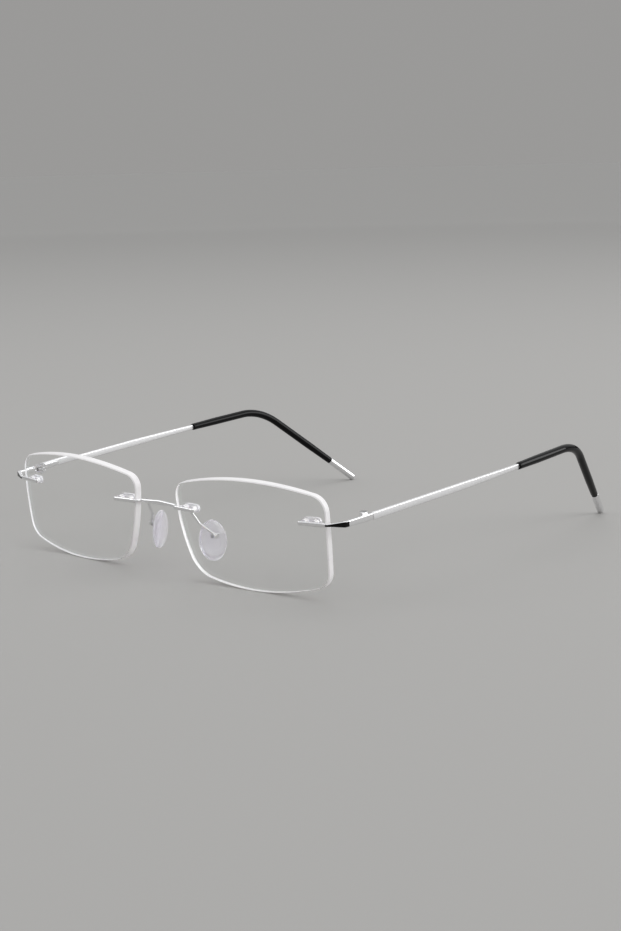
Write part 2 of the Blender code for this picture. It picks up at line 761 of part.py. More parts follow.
def rest_height(drop):
    """How high the middle of the cap's end is when the cap, pointing down at an angle, rests on the table."""
    return (CAP_RADIUS - CAP_ROUNDING) * math.cos(drop) + CAP_ROUNDING * (1.0 - math.sin(drop))


def temple_mesh(path):
    """A tapering strip whose end is drawn out to a round core, which runs through the sleeve into the cap."""
    shoulder = path.sleeve_start - SEAT_GAP
    end = path.cap_start + CORE_DEPTH_IN_CAP
    full = strip_section(STRIP_THICKNESS, STRIP_HEIGHT)
    thin = strip_section(THIN_STRIP_THICKNESS, THIN_STRIP_HEIGHT)
    core = eight_sided(CORE_RADIUS)
    rings = []
    for distance in path.stops(0.0, end, (TAPER_START, TAPER_END, shoulder, path.sleeve_start)):
        strip = blend_sections(full, thin, between(distance, [(TAPER_START, 0.0), (TAPER_END, 1.0)]))
        rings.append(path.ring(distance, strip if distance <= shoulder else core))
    return loft(rings)


def sleeve_mesh(path):
    """A tube over the core, with softened ends."""
    start, end = path.sleeve_start, path.cap_start - SEAT_GAP
    table = [(start, SLEEVE_END_RADIUS - SLEEVE_SOFTENING / 2), (start + SLEEVE_SOFTENING, SLEEVE_END_RADIUS),
             (start + SLEEVE_SWELL_LENGTH, SLEEVE_RADIUS), (end - SLEEVE_SWELL_LENGTH, SLEEVE_RADIUS),
             (end, SLEEVE_END_RADIUS)]
    stops = path.stops(start, end, [row[0] for row in table])
    outer = [path.ring(d, circle(between(d, table))) for d in stops]
    inner = [path.ring(d, circle(CORE_RADIUS + 2 * BORE_CLEARANCE)) for d in reversed(stops)]
    return loft(outer + inner, closed=True)


def cap_mesh(path):
    """A metal cap with a rounded end and a blind bore for the core."""
    start, end = path.cap_start, path.total
    rings = [path.ring(start, circle(CAP_RADIUS)), path.ring(end - CAP_ROUNDING, circle(CAP_RADIUS))]
    for degrees in (30.0, 60.0, 90.0):
        angle = math.radians(degrees)
        radius = CAP_RADIUS - CAP_ROUNDING * (1.0 - math.cos(angle))
        rings.append(path.ring(end - CAP_ROUNDING * (1.0 - math.sin(angle)), circle(radius)))
    bore_end = start + CORE_DEPTH_IN_CAP + 2 * BORE_CLEARANCE
    bore = [path.ring(d, circle(CORE_RADIUS + 2 * BORE_CLEARANCE))
            for d in (start - CAP_LENGTH / 4, bore_end)]
    return cut(loft(rings), loft(bore))


# Nose pads

class PadPlace:
    """The frame of the left nose pad: x away from the nose, y back across the pad, z along it."""

    def __init__(self, shoulder):
        centre = Vector((PAD_SPREAD / 2, PAD_SETBACK, shoulder.z - PAD_DROP))
        lean = turn(PAD_PITCH_DEG, "X") @ turn(-PAD_FLARE_DEG, "Y") @ turn(-PAD_SPLAY_DEG, "Z")
        self.place = Matrix.Translation(centre) @ lean
        self.pivot_frame = self.place @ Matrix.Translation((PIVOT_REACH, 0.0, PIVOT_RAISE))
        self.pivot = self.pivot_frame.to_translation()
        self.axis = (self.pivot_frame.to_3x3() @ Vector((0.0, 1.0, 0.0))).normalized()
        self.across = self.pivot_frame @ turn(-90.0, "X")
        self.box_depth = LUG_RADIUS + HINGE_CLEARANCE + BOX_BACK
        self.half_width = LUG_THICKNESS / 2 + HINGE_CLEARANCE + BOX_CHEEK

    def box_back(self):
        """The middle of the box's back wall, where the arm ends."""
        return self.pivot_frame @ Vector((self.box_depth - BOX_BACK / 2, 0.0, 0.0))


def pad_mesh(pad):
    """A soft oval with a domed bearing face and a pocket for the insert."""
    rings = []
    for height, width in PAD_PROFILE:
        depth = height * (PAD_FRONT_BULGE if height > 0.0 else PAD_BEARING_BULGE)
        rings.append([pad.place @ Vector((depth, width * PAD_WIDTH / 2 * math.sin(angle),
                                          width * PAD_LENGTH / 2 * math.cos(angle)))
                      for angle in (2.0 * math.pi * k / PAD_SIDES for k in range(PAD_SIDES))])
    body = loft(rings)
    plate = insert_plate(pad, BORE_CLEARANCE)
    channel = prism(rectangle(0.0, PIVOT_REACH, -LUG_THICKNESS / 2 - BORE_CLEARANCE,
                              LUG_THICKNESS / 2 + BORE_CLEARANCE),
                    PIVOT_RAISE - LUG_RADIUS - BORE_CLEARANCE, PIVOT_RAISE + LUG_RADIUS + BORE_CLEARANCE,
                    pad.place)
    return cut(body, join(plate, channel))


def insert_plate(pad, grow):
    """The plate of the insert, made larger all round by a clearance for its pocket."""
    outline = slot_outline(INSERT_LENGTH - INSERT_WIDTH, INSERT_WIDTH / 2 + grow)
    flat = pad.place @ turn(-90.0, "Y")
    return prism(outline, -INSERT_THICKNESS / 2 - grow, INSERT_THICKNESS / 2 + grow, flat)


def insert_mesh(pad):
    """A clear plate inside the pad with a lug that stands out of it, drilled for the pad screw."""
    arc = [(LUG_RADIUS * math.sin(math.radians(30.0 * k)), LUG_RADIUS * math.cos(math.radians(30.0 * k)))
           for k in range(7)]
    outline = arc + [(-PIVOT_REACH, -LUG_RADIUS), (-PIVOT_REACH, LUG_RADIUS)]
    lug = prism(outline, -LUG_THICKNESS / 2, LUG_THICKNESS / 2, pad.across)
    hole = prism(circle(PAD_SCREW_RADIUS + BORE_CLEARANCE), -LUG_THICKNESS, LUG_THICKNESS, pad.across)
    return cut(join(insert_plate(pad, 0.0), lug), hole)


def pad_screw_mesh(pad):
    """A small screw through the box and the lug, with its head on the front cheek."""
    width = pad.half_width
    seat = width + BORE_CLEARANCE
    shaft = prism(circle(PAD_SCREW_RADIUS), -seat - PAD_SCREW_HEAD_HEIGHT / 2, width, pad.across)
    head = prism(circle(PAD_SCREW_HEAD_RADIUS), -seat - PAD_SCREW_HEAD_HEIGHT, -seat, pad.across)
    return join(shaft, head)


def arm_mesh(pad, shoulder):
    """A bent wire from the back of the bridge to a box that is open towards the pad."""
    slant = ARM_RADIUS * ARM_KNEE_OUT / math.hypot(ARM_KNEE_OUT, ARM_RUN_BACK)
    root = Vector((ARM_ROOT, shoulder.y + BAR_THICKNESS / 2 + SEAT_GAP + slant,
                   shoulder.z - ARM_ROOT_DROP))
    knee = root + Vector((ARM_KNEE_OUT, ARM_RUN_BACK, 0.0))
    elbow = knee + Vector((ARM_ELBOW_OUT, ARM_ELBOW_BACK, -ARM_ELBOW_DROP))
    path = fillet_path([root, knee, elbow, pad.box_back()], [ARM_BEND_RADIUS, ARM_BEND_RADIUS])
    along = lengths_along(path)
    wire = loft([section_points(point_on(path, along, d), direction_on(path, along, d), ACROSS_AXIS,
                                circle(ARM_RADIUS)) for d in stops_on(along, 0.0, along[-1])])
    inner = LUG_THICKNESS / 2 + HINGE_CLEARANCE
    floor = LUG_RADIUS + HINGE_CLEARANCE
    mouth = PAD_FRONT_BULGE + BOX_PAD_GAP - PIVOT_REACH
    outer = pad.half_width
    box = prism(rectangle(mouth, pad.box_depth, -outer, outer), -LUG_RADIUS, LUG_RADIUS, pad.pivot_frame)
    slot = prism(rectangle(2 * mouth, floor, -inner, inner), -2 * LUG_RADIUS, 2 * LUG_RADIUS, pad.pivot_frame)
    hole = prism(circle(PAD_SCREW_RADIUS + BORE_CLEARANCE), -2 * outer, 2 * outer, pad.across)
    return cut(join(box, wire), slot, hole)


# Assembly

class Glasses:
    """Collects the named pieces and hangs each on its empty."""

    def __init__(self, materials):
        self.materials = materials
        self.holder = self.empty("glasses", Vector((0.0, 0.0, 0.0)), None)

    def empty(self, name, point, parent):
        """An empty at a point, which moves what hangs on it."""
        holder = bpy.data.objects.new(name, None)
        holder.empty_display_size = 0.005
        bpy.context.collection.objects.link(holder)
        holder.parent = parent
        holder.location = point
        return holder

    def piece(self, name, mesh, material, parent=None, smooth_degrees=32.0):
        """One named piece, whose mesh is given in the place where it belongs."""
        parent = parent or self.holder
        mesh.transform(Matrix.Translation(-parent.location))
        mesh.name = name
        mesh.materials.clear()
        mesh.materials.append(self.materials[material])
        mesh.shade_smooth()
        mesh.set_sharp_from_angle(angle=math.radians(smooth_degrees))
        piece = bpy.data.objects.new(name, mesh)
        bpy.context.collection.objects.link(piece)
        piece.parent = parent
        return piece

    def pair(self, name, mesh, material, parents=(None, None)):
        """The same piece on the left and, mirrored, on the right."""
        other = mirrored(mesh)
        self.piece(f"left_{name}", mesh, material, parents[0])
        self.piece(f"right_{name}", other, material, parents[1])

    def pivots(self, name, point):
        """An empty on the left and one on the right, each on its joint's axis."""
        return [self.empty(f"{side}_{name}", place, self.holder)
                for side, place in (("left", point), ("right", MIRROR @ point))]


def standing_height(mesh):
    """How far a turned lens has to be raised to stand on the table."""
    stance = lens_stance()
    return -min((stance @ vertex.co).z for vertex in mesh.vertices)


def lens_stance():
    """The turn of the left lens: wrapped back at the temple and leaning forward at the top."""
    return turn(LENS_WRAP_DEG, "Z") @ turn(LENS_TILT_DEG, "X")


def build():
    """Makes every piece of the glasses."""
    for old in list(bpy.data.objects):
        bpy.data.objects.remove(old)
    glasses = Glasses(make_materials())

    outline = lens_outline()
    blank = lens_blank(outline)
    centre = Vector(((LENS_GAP + LENS_WIDTH) / 2, 0.0, standing_height(blank)))
    lens_place = Matrix.Translation(centre) @ lens_stance()
    blank.transform(lens_place)
    nasal = Mount(outline, lens_place, NASAL_MOUNT_HEIGHT, -1.0, NASAL_FIRST_POST, NASAL_POST_PITCH)
    temporal = Mount(outline, lens_place, TEMPORAL_MOUNT_HEIGHT, 1.0, TEMPORAL_FIRST_POST,
                     TEMPORAL_POST_PITCH)
    glasses.pair("lens", cut(blank, *nasal.hole_meshes(), *temporal.hole_meshes()), "lens")
    glasses.pair("nasal_bushing", nasal.bushing(), "bushing")
    glasses.pair("temporal_bushing", temporal.bushing(), "bushing")

    bridge, shoulder = bridge_mesh(nasal)
    glasses.piece("bridge", bridge, "polished")
    side = Side(temporal)
    glasses.pair("endpiece", endpiece_mesh(side), "polished")

    front_levels, temple_levels = hinge_levels()
    hinges = glasses.pivots("temple_hinge", side.hinge)
    glasses.pair("front_leaf", leaf_mesh(side.hinge, -1.0, front_levels), "polished")
    glasses.pair("temple_leaf", leaf_mesh(side.hinge, 1.0, temple_levels), "polished", hinges)
    glasses.pair("hinge_screw", hinge_screw_mesh(side.hinge), "screw")

    path = TemplePath(side.joint)
    glasses.pair("temple", temple_mesh(path), "satin", hinges)
    glasses.pair("tip_sleeve", sleeve_mesh(path), "sleeve", hinges)
    glasses.pair("tip_cap", cap_mesh(path), "polished", hinges)

    pad = PadPlace(shoulder)
    pivots = glasses.pivots("pad_pivot", pad.pivot)
    glasses.pair("pad_arm", arm_mesh(pad, shoulder), "polished")
    glasses.pair("pad_screw", pad_screw_mesh(pad), "screw")
    glasses.pair("nose_pad", pad_mesh(pad), "pad", pivots)
    glasses.pair("pad_insert", insert_mesh(pad), "bushing", pivots)

    bpy.context.view_layer.update()
    rows = [piece.matrix_world @ vertex.co for piece in bpy.data.objects if piece.type == "MESH"
            for vertex in piece.data.vertices]
    glasses.holder.location.y = -(min(p.y for p in rows) + max(p.y for p in rows)) / 2
    bpy.context.view_layer.update()
    print(f"left hinge axis at {tuple(glasses.holder.matrix_world @ side.hinge)}")
    print(f"left pad pivot at {tuple(glasses.holder.matrix_world @ pad.pivot)}, axis {tuple(pad.axis)}")


build()
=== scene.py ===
"""Rimless reading glasses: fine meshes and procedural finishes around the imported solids.

Every piece repeats the measures of its solid in finer form. The left half is modelled and mirrored
to the right. Shapes are worked out with the front of the lenses near Y = 0 and are moved into the
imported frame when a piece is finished. Lengths are in metres: X runs to the wearer's left, Y runs
back along the temples and Z is up.
"""

from __future__ import annotations

import json
import logging
import math
import sys
from collections.abc import Callable, Mapping, Sequence
from dataclasses import dataclass, field
from enum import Enum

import bmesh
import bpy
from bpy.types import Material, Mesh, Node, NodeSocket, NodeTree, Object
from mathutils import Matrix, Vector

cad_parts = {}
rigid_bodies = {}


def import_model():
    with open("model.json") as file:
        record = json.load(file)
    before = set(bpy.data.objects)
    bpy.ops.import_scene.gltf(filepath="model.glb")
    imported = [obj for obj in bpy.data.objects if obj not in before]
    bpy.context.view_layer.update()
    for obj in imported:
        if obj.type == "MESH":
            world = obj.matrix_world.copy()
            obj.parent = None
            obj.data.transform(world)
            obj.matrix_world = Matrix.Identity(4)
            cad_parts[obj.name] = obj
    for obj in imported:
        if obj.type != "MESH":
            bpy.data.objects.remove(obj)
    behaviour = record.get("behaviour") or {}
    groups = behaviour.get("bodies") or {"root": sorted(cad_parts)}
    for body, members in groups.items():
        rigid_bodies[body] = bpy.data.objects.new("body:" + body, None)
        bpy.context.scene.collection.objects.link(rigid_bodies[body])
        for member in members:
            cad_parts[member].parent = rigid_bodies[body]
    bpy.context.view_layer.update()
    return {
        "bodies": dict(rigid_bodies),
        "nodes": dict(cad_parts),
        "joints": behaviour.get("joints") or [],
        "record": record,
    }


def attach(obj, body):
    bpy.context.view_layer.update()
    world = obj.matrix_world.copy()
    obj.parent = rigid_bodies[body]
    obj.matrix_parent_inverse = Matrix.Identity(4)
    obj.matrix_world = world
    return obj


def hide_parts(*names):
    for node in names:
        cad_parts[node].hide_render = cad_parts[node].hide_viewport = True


LOG = logging.getLogger("reading_glasses")

Pair = tuple[float, float]
Outline = list[Pair]
Grower = Callable[[float], Outline]
Color = tuple[float, float, float]

ACROSS_AXIS = Vector((1.0, 0.0, 0.0))
UP_AXIS = Vector((0.0, 0.0, 1.0))
MIRROR = Matrix.Diagonal((-1.0, 1.0, 1.0, 1.0))

SEAT_GAP = 0.00010
BORE_CLEARANCE = 0.00006
HINGE_CLEARANCE = 0.00012
BUTT_GAP = 0.00010
MERGE_DISTANCE = 1.0e-7
DIRECTION_REACH = 0.0001
SHORTEST_STEP = 0.00003
SMALLEST_RADIUS = 1.0e-6
POLE = math.inf


class Hand(Enum):
    """The side of the wearer that a piece is on."""

    LEFT = "left"
    RIGHT = "right"


class Body(Enum):
    """What a piece moves with."""

    FRONT = "front"
    TEMPLE = "temple"
    PAD = "pad"

    def on(self, hand: Hand) -> str:
        """The name of the body on one side."""
        return self.value if self is Body.FRONT else f"{hand.value}_{self.value}"


class Slot(Enum):
    """The record's material slots."""

    LENS = "lens"
    BUSHING = "bushing"
    PAD = "pad"
    SLEEVE = "sleeve"
    POLISHED = "polished"
    SATIN = "satin"
    SCREW = "screw"


class Combine(Enum):
    """How one solid works on another."""

    UNITE = "UNION"
    CUT = "DIFFERENCE"


# Node trees


class TreeMaker:
    """Adds nodes to a tree and joins them in few words."""

    def __init__(self, tree: NodeTree) -> None:
        """Keeps the tree that the nodes go into."""
        self.tree = tree

    def add(self, kind: str, feeds: Mapping[str | int, object] | None = None, **settings: object) -> Node:
        """Adds one node.

        Args:
            kind: The node's type.
            feeds: For each input, a socket to link or a plain value.
            settings: The node's own settings.

        Returns:
            The node.
        """
        node = self.tree.nodes.new(kind)
        for name, value in settings.items():
            setattr(node, name, value)
        for name, value in (feeds or {}).items():
            if isinstance(value, NodeSocket):
                self.tree.links.new(value, node.inputs[name])
            else:
                node.inputs[name].default_value = value
        return node

    def math(self, operation: str, *terms: object) -> NodeSocket:
        """The result of a Math node on sockets or numbers."""
        return self.add("ShaderNodeMath", dict(enumerate(terms)), operation=operation).outputs[0]

    def vector_math(self, operation: str, first: object, second: object) -> NodeSocket:
        """The vector that a Vector Math node gives."""
        return self.add("ShaderNodeVectorMath", {0: first, 1: second}, operation=operation).outputs[0]

    def scaled(self, vector: object, factor: object) -> NodeSocket:
        """A vector times a number."""
        return self.add("ShaderNodeVectorMath", {0: vector, "Scale": factor}, operation="SCALE").outputs[0]

    def remap(self, value: object, before: Pair, after: Pair) -> NodeSocket:
        """A value moved from one range to another and kept inside it.

        Args:
            value: The value.
            before: The range it comes from.
            after: The range it goes to.

        Returns:
            The moved value.
        """
        feeds = {"Value": value, "From Min": before[0], "From Max": before[1], "To Min": after[0],
                 "To Max": after[1]}
        return self.add("ShaderNodeMapRange", feeds, clamp=True).outputs[0]


def named_sockets(tree: NodeTree, inputs: Mapping[str, object], outputs: Mapping[str, str]) -> None:
    """Gives a tree its named inputs and outputs.

    Args:
        tree: The node group.
        inputs: For each input, its socket type, or its type and default value.
        outputs: For each output, its socket type.
    """
    for name, form in inputs.items():
        kind, value = form if isinstance(form, tuple) else (form, None)
        socket = tree.interface.new_socket(name=name, in_out="INPUT", socket_type=kind)
        if value is not None:
            socket.default_value = value
    for name, kind in outputs.items():
        tree.interface.new_socket(name=name, in_out="OUTPUT", socket_type=kind)


class GeometryTrees:
    """The Geometry Nodes that skin a spine, repeat a pin in a row and combine solids."""

    def __init__(self) -> None:
        """Builds each tree once."""
        self.skin = self._skin_tree()
        self.row = self._row_tree()
        self.combine = {way: self._combine_tree(way) for way in Combine}

    @staticmethod
    def _finish(maker: TreeMaker, group_in: Node, geometry: object) -> None:
        """Ends a tree with real geometry in one material.

        Args:
            maker: Adds the nodes.
            group_in: The tree's input node.
            geometry: What the tree made.
        """
        solid = maker.add("GeometryNodeRealizeInstances", {"Geometry": geometry})
        dressed = maker.add("GeometryNodeSetMaterial", {"Geometry": solid.outputs[0],
                                                        "Material": group_in.outputs["Material"]})
        maker.add("NodeGroupOutput", {"Geometry": dressed.outputs[0]})

    def _skin_tree(self) -> NodeTree:
        """Skins a spine whose points carry the size of a rectangle with rounded edges.

        Returns:
            The tree. Its input mesh is the spine, one point to a section.
        """
        tree = bpy.data.node_groups.new("Skinned Spine", "GeometryNodeTree")
        named_sockets(tree, {"Geometry": "NodeSocketGeometry", "Edge Points": ("NodeSocketInt", 8),
                             "Merge Distance": ("NodeSocketFloat", MERGE_DISTANCE),
                             "Material": "NodeSocketMaterial"}, {"Geometry": "NodeSocketGeometry"})
        maker = TreeMaker(tree)
        given = maker.add("NodeGroupInput")
        spine, edge_points = given.outputs["Geometry"], given.outputs["Edge Points"]
        rows = maker.add("GeometryNodeAttributeDomainSize", {"Geometry": spine}, component="MESH")
        columns = maker.math("MULTIPLY_ADD", edge_points, 4.0, 1.0)
        grid = maker.add("GeometryNodeMeshGrid", {"Vertices X": rows.outputs["Point Count"],
                                                  "Vertices Y": columns})
        index = maker.add("GeometryNodeInputIndex").outputs[0]
        row = maker.math("FLOOR", maker.math("DIVIDE", maker.math("ADD", index, 0.5), columns))
        column = maker.math("SUBTRACT", index, maker.math("MULTIPLY", row, columns))
        corner = maker.math("FLOOR", maker.math("DIVIDE", maker.math("ADD", column, 0.5), edge_points))
        step = maker.math("SUBTRACT", column, maker.math("MULTIPLY", corner, edge_points))
        share = maker.math("DIVIDE", step, maker.math("SUBTRACT", edge_points, 1.0))
        quarter = math.pi / 2
        angle = maker.math("MULTIPLY", maker.math("ADD", corner, share), quarter)
        middle = maker.math("MULTIPLY", maker.math("ADD", corner, 0.5), quarter)

        def sampled(name: str, kind: str) -> NodeSocket:
            """What the spine's point of this row carries.

            Args:
                name: The attribute.
                kind: Its data type.

            Returns:
                The value.
            """
            if name == "position":
                value = maker.add("GeometryNodeInputPosition").outputs[0]
            else:
                value = maker.add("GeometryNodeInputNamedAttribute", {"Name": name}, data_type=kind).outputs[0]
            taken = maker.add("GeometryNodeSampleIndex", None, data_type=kind, domain="POINT")
            tree.links.new(spine, taken.inputs["Geometry"])
            tree.links.new(value, taken.inputs["Value"])
            tree.links.new(row, taken.inputs["Index"])
            return taken.outputs["Value"]

        edge = sampled("edge", "FLOAT")

        def reach(size: str, function: str) -> NodeSocket:
            """How far the skin lies from the spine in one direction.

            Args:
                size: The attribute with the full size.
                function: SINE or COSINE, for the direction.

            Returns:
                The distance.
            """
            half = maker.math("MULTIPLY_ADD", sampled(size, "FLOAT"), 0.5, maker.math("MULTIPLY", edge, -1.0))
            centre = maker.math("MULTIPLY", half, maker.math("SIGN", maker.math(function, middle)))
            return maker.math("MULTIPLY_ADD", edge, maker.math(function, angle), centre)

        aside = maker.scaled(sampled("across", "FLOAT_VECTOR"), reach("thickness", "COSINE"))
        above = maker.scaled(sampled("upward", "FLOAT_VECTOR"), reach("height", "SINE"))
        place = maker.vector_math("ADD", sampled("position", "FLOAT_VECTOR"),
                                  maker.vector_math("ADD", aside, above))
        skin = maker.add("GeometryNodeSetPosition", {"Geometry": grid.outputs["Mesh"], "Position": place})
        sewn = maker.add("GeometryNodeMergeByDistance", {"Geometry": skin.outputs[0],
                                                         "Distance": given.outputs["Merge Distance"]})
        self._finish(maker, given, sewn.outputs[0])
        return tree

    def _row_tree(self) -> NodeTree:
        """Repeats a piece in a row along X, about the origin.

        Returns:
            The tree.
        """
        tree = bpy.data.node_groups.new("Row of Pins", "GeometryNodeTree")
        named_sockets(tree, {"Geometry": "NodeSocketGeometry", "Count": ("NodeSocketInt", 2),
                             "Pitch": ("NodeSocketFloat", 0.003), "Material": "NodeSocketMaterial"},
                      {"Geometry": "NodeSocketGeometry"})
        maker = TreeMaker(tree)
        given = maker.add("NodeGroupInput")
        count, pitch = given.outputs["Count"], given.outputs["Pitch"]
        first = maker.math("MULTIPLY", maker.math("MULTIPLY", maker.math("SUBTRACT", count, 1.0), pitch), -0.5)
        start = maker.add("ShaderNodeCombineXYZ", {"X": first})
        offset = maker.add("ShaderNodeCombineXYZ", {"X": pitch})
        line = maker.add("GeometryNodeMeshLine", {"Count": count, "Start Location": start.outputs[0],
                                                  "Offset": offset.outputs[0]})
        pins = maker.add("GeometryNodeInstanceOnPoints", {"Points": line.outputs[0],
                                                          "Instance": given.outputs["Geometry"]})
        self._finish(maker, given, pins.outputs[0])
        return tree

    def _combine_tree(self, way: Combine) -> NodeTree:
        """Joins a tool to a solid or cuts it away.

        Args:
            way: Which of the two the tree does.

        Returns:
            The tree.
        """
        tree = bpy.data.node_groups.new(f"{way.name.title()} Solids", "GeometryNodeTree")
        named_sockets(tree, {"Geometry": "NodeSocketGeometry", "Tool": "NodeSocketObject",
                             "Material": "NodeSocketMaterial"}, {"Geometry": "NodeSocketGeometry"})
        maker = TreeMaker(tree)
        given = maker.add("NodeGroupInput")
        tool = maker.add("GeometryNodeObjectInfo", {"Object": given.outputs["Tool"]})
        solid = maker.add("GeometryNodeMeshBoolean", operation=way.value, solver="EXACT")
        tree.links.new(given.outputs["Geometry"], solid.inputs["Mesh 1" if way is Combine.CUT else "Mesh 2"])
        tree.links.new(tool.outputs["Geometry"], solid.inputs["Mesh 2"])
        self._finish(maker, given, solid.outputs["Mesh"])
        return tree

    @staticmethod
    def run(tree: NodeTree, mesh: Mesh, values: Mapping[str, object]) -> Mesh:
        """Runs a tree on a mesh.

        Args:
            tree: The geometry tree.
            mesh: What goes in.
            values: For each named input, its value.

        Returns:
            The plain mesh that comes out.
        """
        bench = bpy.data.objects.new("bench", mesh)
        bpy.context.collection.objects.link(bench)
        modifier = bench.modifiers.new(tree.name, "NODES")
        modifier.node_group = tree
        for item in tree.interface.items_tree:
            if item.in_out == "INPUT" and item.name in values:
                modifier[item.identifier] = values[item.name]
        graph = bpy.context.evaluated_depsgraph_get()
        result = bpy.data.meshes.new_from_object(bench.evaluated_get(graph), depsgraph=graph)
        bench.modifiers.remove(modifier)
        bpy.data.objects.remove(bench)
        return result

    def in_row(self, mesh: Mesh, count: int, pitch: float) -> Mesh:
        """The same piece several times in a row along X."""
        return self.run(self.row, mesh, {"Count": count, "Pitch": pitch})

    def worked(self, body: Mesh, way: Combine, *tools: Mesh) -> Mesh:
        """A solid joined with other solids or cut by them, one after another.

        Args:
            body: The solid to start from.
            way: Whether the tools are joined or cut away.
            tools: The other solids.

        Returns:
            The new solid.
        """
        for mesh in tools:
            tool = bpy.data.objects.new("tool", mesh)
            bpy.context.collection.objects.link(tool)
            body = self.run(self.combine[way], body, {"Tool": tool})
            bpy.data.objects.remove(tool)
        return body


# Meshes


def turn(degrees: float, axis: str) -> Matrix:
    """A rotation about one of the world's axes."""
    return Matrix.Rotation(math.radians(degrees), 4, axis)


def signed_volume(mesh: Mesh) -> float:
    """The volume inside a closed mesh.

    Args:
        mesh: The mesh.

    Returns:
        The volume, negative when its faces point inwards.
    """
    mesh.calc_loop_triangles()
    total = 0.0
    for triangle in mesh.loop_triangles:
        a, b, c = (mesh.vertices[index].co for index in triangle.vertices)
        total += a.dot(b.cross(c)) / 6.0
    return total


def facing_out(mesh: Mesh) -> Mesh:
    """The mesh with its faces turned outwards.

    Args:
        mesh: A closed mesh.

    Returns:
        The same mesh.
    """
    if signed_volume(mesh) < 0.0:
        mesh.flip_normals()
    return mesh


def mesh_from(vertices: Sequence[Vector], faces: Sequence[Sequence[int]]) -> Mesh:
    """A closed mesh from its points and faces.

    Args:
        vertices: The points.
        faces: The numbers of each face's points.

    Returns:
        The mesh.
    """
    mesh = bpy.data.meshes.new("shape")
    mesh.from_pydata([tuple(vertex) for vertex in vertices], [], [tuple(face) for face in faces])
    shape = bmesh.new()
    shape.from_mesh(mesh)
    bmesh.ops.recalc_face_normals(shape, faces=shape.faces)
    shape.to_mesh(mesh)
    shape.free()
    return facing_out(mesh)


def ring_walls(rows: int, count: int) -> list[tuple[int, ...]]:
    """The faces between rings that follow one another.

    Args:
        rows: How many rings there are.
        count: How many points each has.

    Returns:
        The faces, by the numbers of their points.
    """
    return [(row * count + column, row * count + (column + 1) % count,
             (row + 1) * count + (column + 1) % count, (row + 1) * count + column)
            for row in range(rows - 1) for column in range(count)]


def loft(rings: Sequence[Sequence[Vector]]) -> Mesh:
    """Skins equal rings of points and closes both ends with a flat cap.

    Args:
        rings: The rings in order.

    Returns:
        The mesh.
    """
    count = len(rings[0])
    vertices = [point for ring in rings for point in ring]
    caps = [tuple(range(count)), tuple(range((len(rings) - 1) * count, len(rings) * count))]
    return mesh_from(vertices, caps + ring_walls(len(rings), count))


def round_steps(radius: float, steps: int = 4) -> list[Pair]:
    """A rounded rim from a flat end on.

    Args:
        radius: The radius of the rim.
        steps: How many pieces it has.

    Returns:
        How far behind the end each ring lies, and its inset.
    """
    rows = []
    for k in range(steps + 1):
        angle = math.pi / 2 * k / steps
        rows.append((radius * (1.0 - math.cos(angle)), radius * (1.0 - math.sin(angle))))
    return rows


def soft_prism(outline: Grower, low: float, high: float, place: Matrix,
               low_edge: float = 0.00005, high_edge: float = 0.00005) -> Mesh:
    """Extrudes an outline along Z with rounded rims.

    Args:
        outline: Gives the outline grown by a length.
        low: Where it starts along Z.
        high: Where it ends along Z.
        place: Where the finished prism goes.
        low_edge: The radius of the rim at the start, or 0 for a sharp one.
        high_edge: The radius of the rim at the end, or 0 for a sharp one.

    Returns:
        The closed mesh.
    """
    start = [(low + back, inset) for back, inset in (round_steps(low_edge) if low_edge else [(0.0, 0.0)])]
    end = [(high - back, inset) for back, inset in (round_steps(high_edge) if high_edge else [(0.0, 0.0)])]
    rows = start + end[::-1]
    return loft([[place @ Vector((x, y, level)) for x, y in outline(-inset)] for level, inset in rows])


def disc(radius: float, sides: int = 40) -> Grower:
    """A round outline that can grow.

    Args:
        radius: The radius.
        sides: How many sides stand for the circle.

    Returns:
        The outline, grown by a length.
    """
    def grown(grow: float) -> Outline:
        """The circle with its radius made larger."""
        return [((radius + grow) * math.cos(2.0 * math.pi * k / sides),
                 (radius + grow) * math.sin(2.0 * math.pi * k / sides)) for k in range(sides)]
    return grown


def stadium(length: float, radius: float, sides: int = 48) -> Grower:
    """A rectangle with round ends, long in X, that can grow.

    Args:
        length: The distance between the centres of the ends.
        radius: The radius of the ends.
        sides: How many sides the ends have.

    Returns:
        The outline, grown by a length.
    """
    def grown(grow: float) -> Outline:
        """The outline with its radius made larger.

        Args:
            grow: The length.

        Returns:
            The outline.
        """
        half = sides // 2
        points = []
        for direction in (1.0, -1.0):
            for k in range(half + 1):
                angle = -math.pi / 2 + math.pi * k / half
                points.append((direction * (length / 2 + (radius + grow) * math.cos(angle)),
                               direction * (radius + grow) * math.sin(angle)))
        return points
    return grown


def box_outline(low_x: float, high_x: float, low_y: float, high_y: float,
                radius: float = 0.0, steps: int = 5) -> Grower:
    """A rectangle with rounded corners that can grow.

    Args:
        low_x: The left side.
        high_x: The right side.
        low_y: The lower side.
        high_y: The upper side.
        radius: The radius of the corners, or 0.
        steps: How many pieces a corner has.

    Returns:
        The outline, grown by a length.
    """
    def grown(grow: float) -> Outline:
        """The rectangle with every side moved outwards.

        Args:
            grow: The length.

        Returns:
            The outline.
        """
        round_off = max(radius + grow, SMALLEST_RADIUS)
        points = []
        for number, (x, y) in enumerate(((high_x - radius, high_y - radius), (low_x + radius, high_y - radius),
                                         (low_x + radius, low_y + radius), (high_x - radius, low_y + radius))):
            for k in range(steps + 1):
                angle = math.pi / 2 * (number + k / steps)
                points.append((x + round_off * math.cos(angle), y + round_off * math.sin(angle)))
        return points

    def plain(grow: float) -> Outline:
        """The rectangle with sharp corners."""
        return [(high_x + grow, high_y + grow), (low_x - grow, high_y + grow),
                (low_x - grow, low_y - grow), (high_x + grow, low_y - grow)]
    return grown if radius else plain


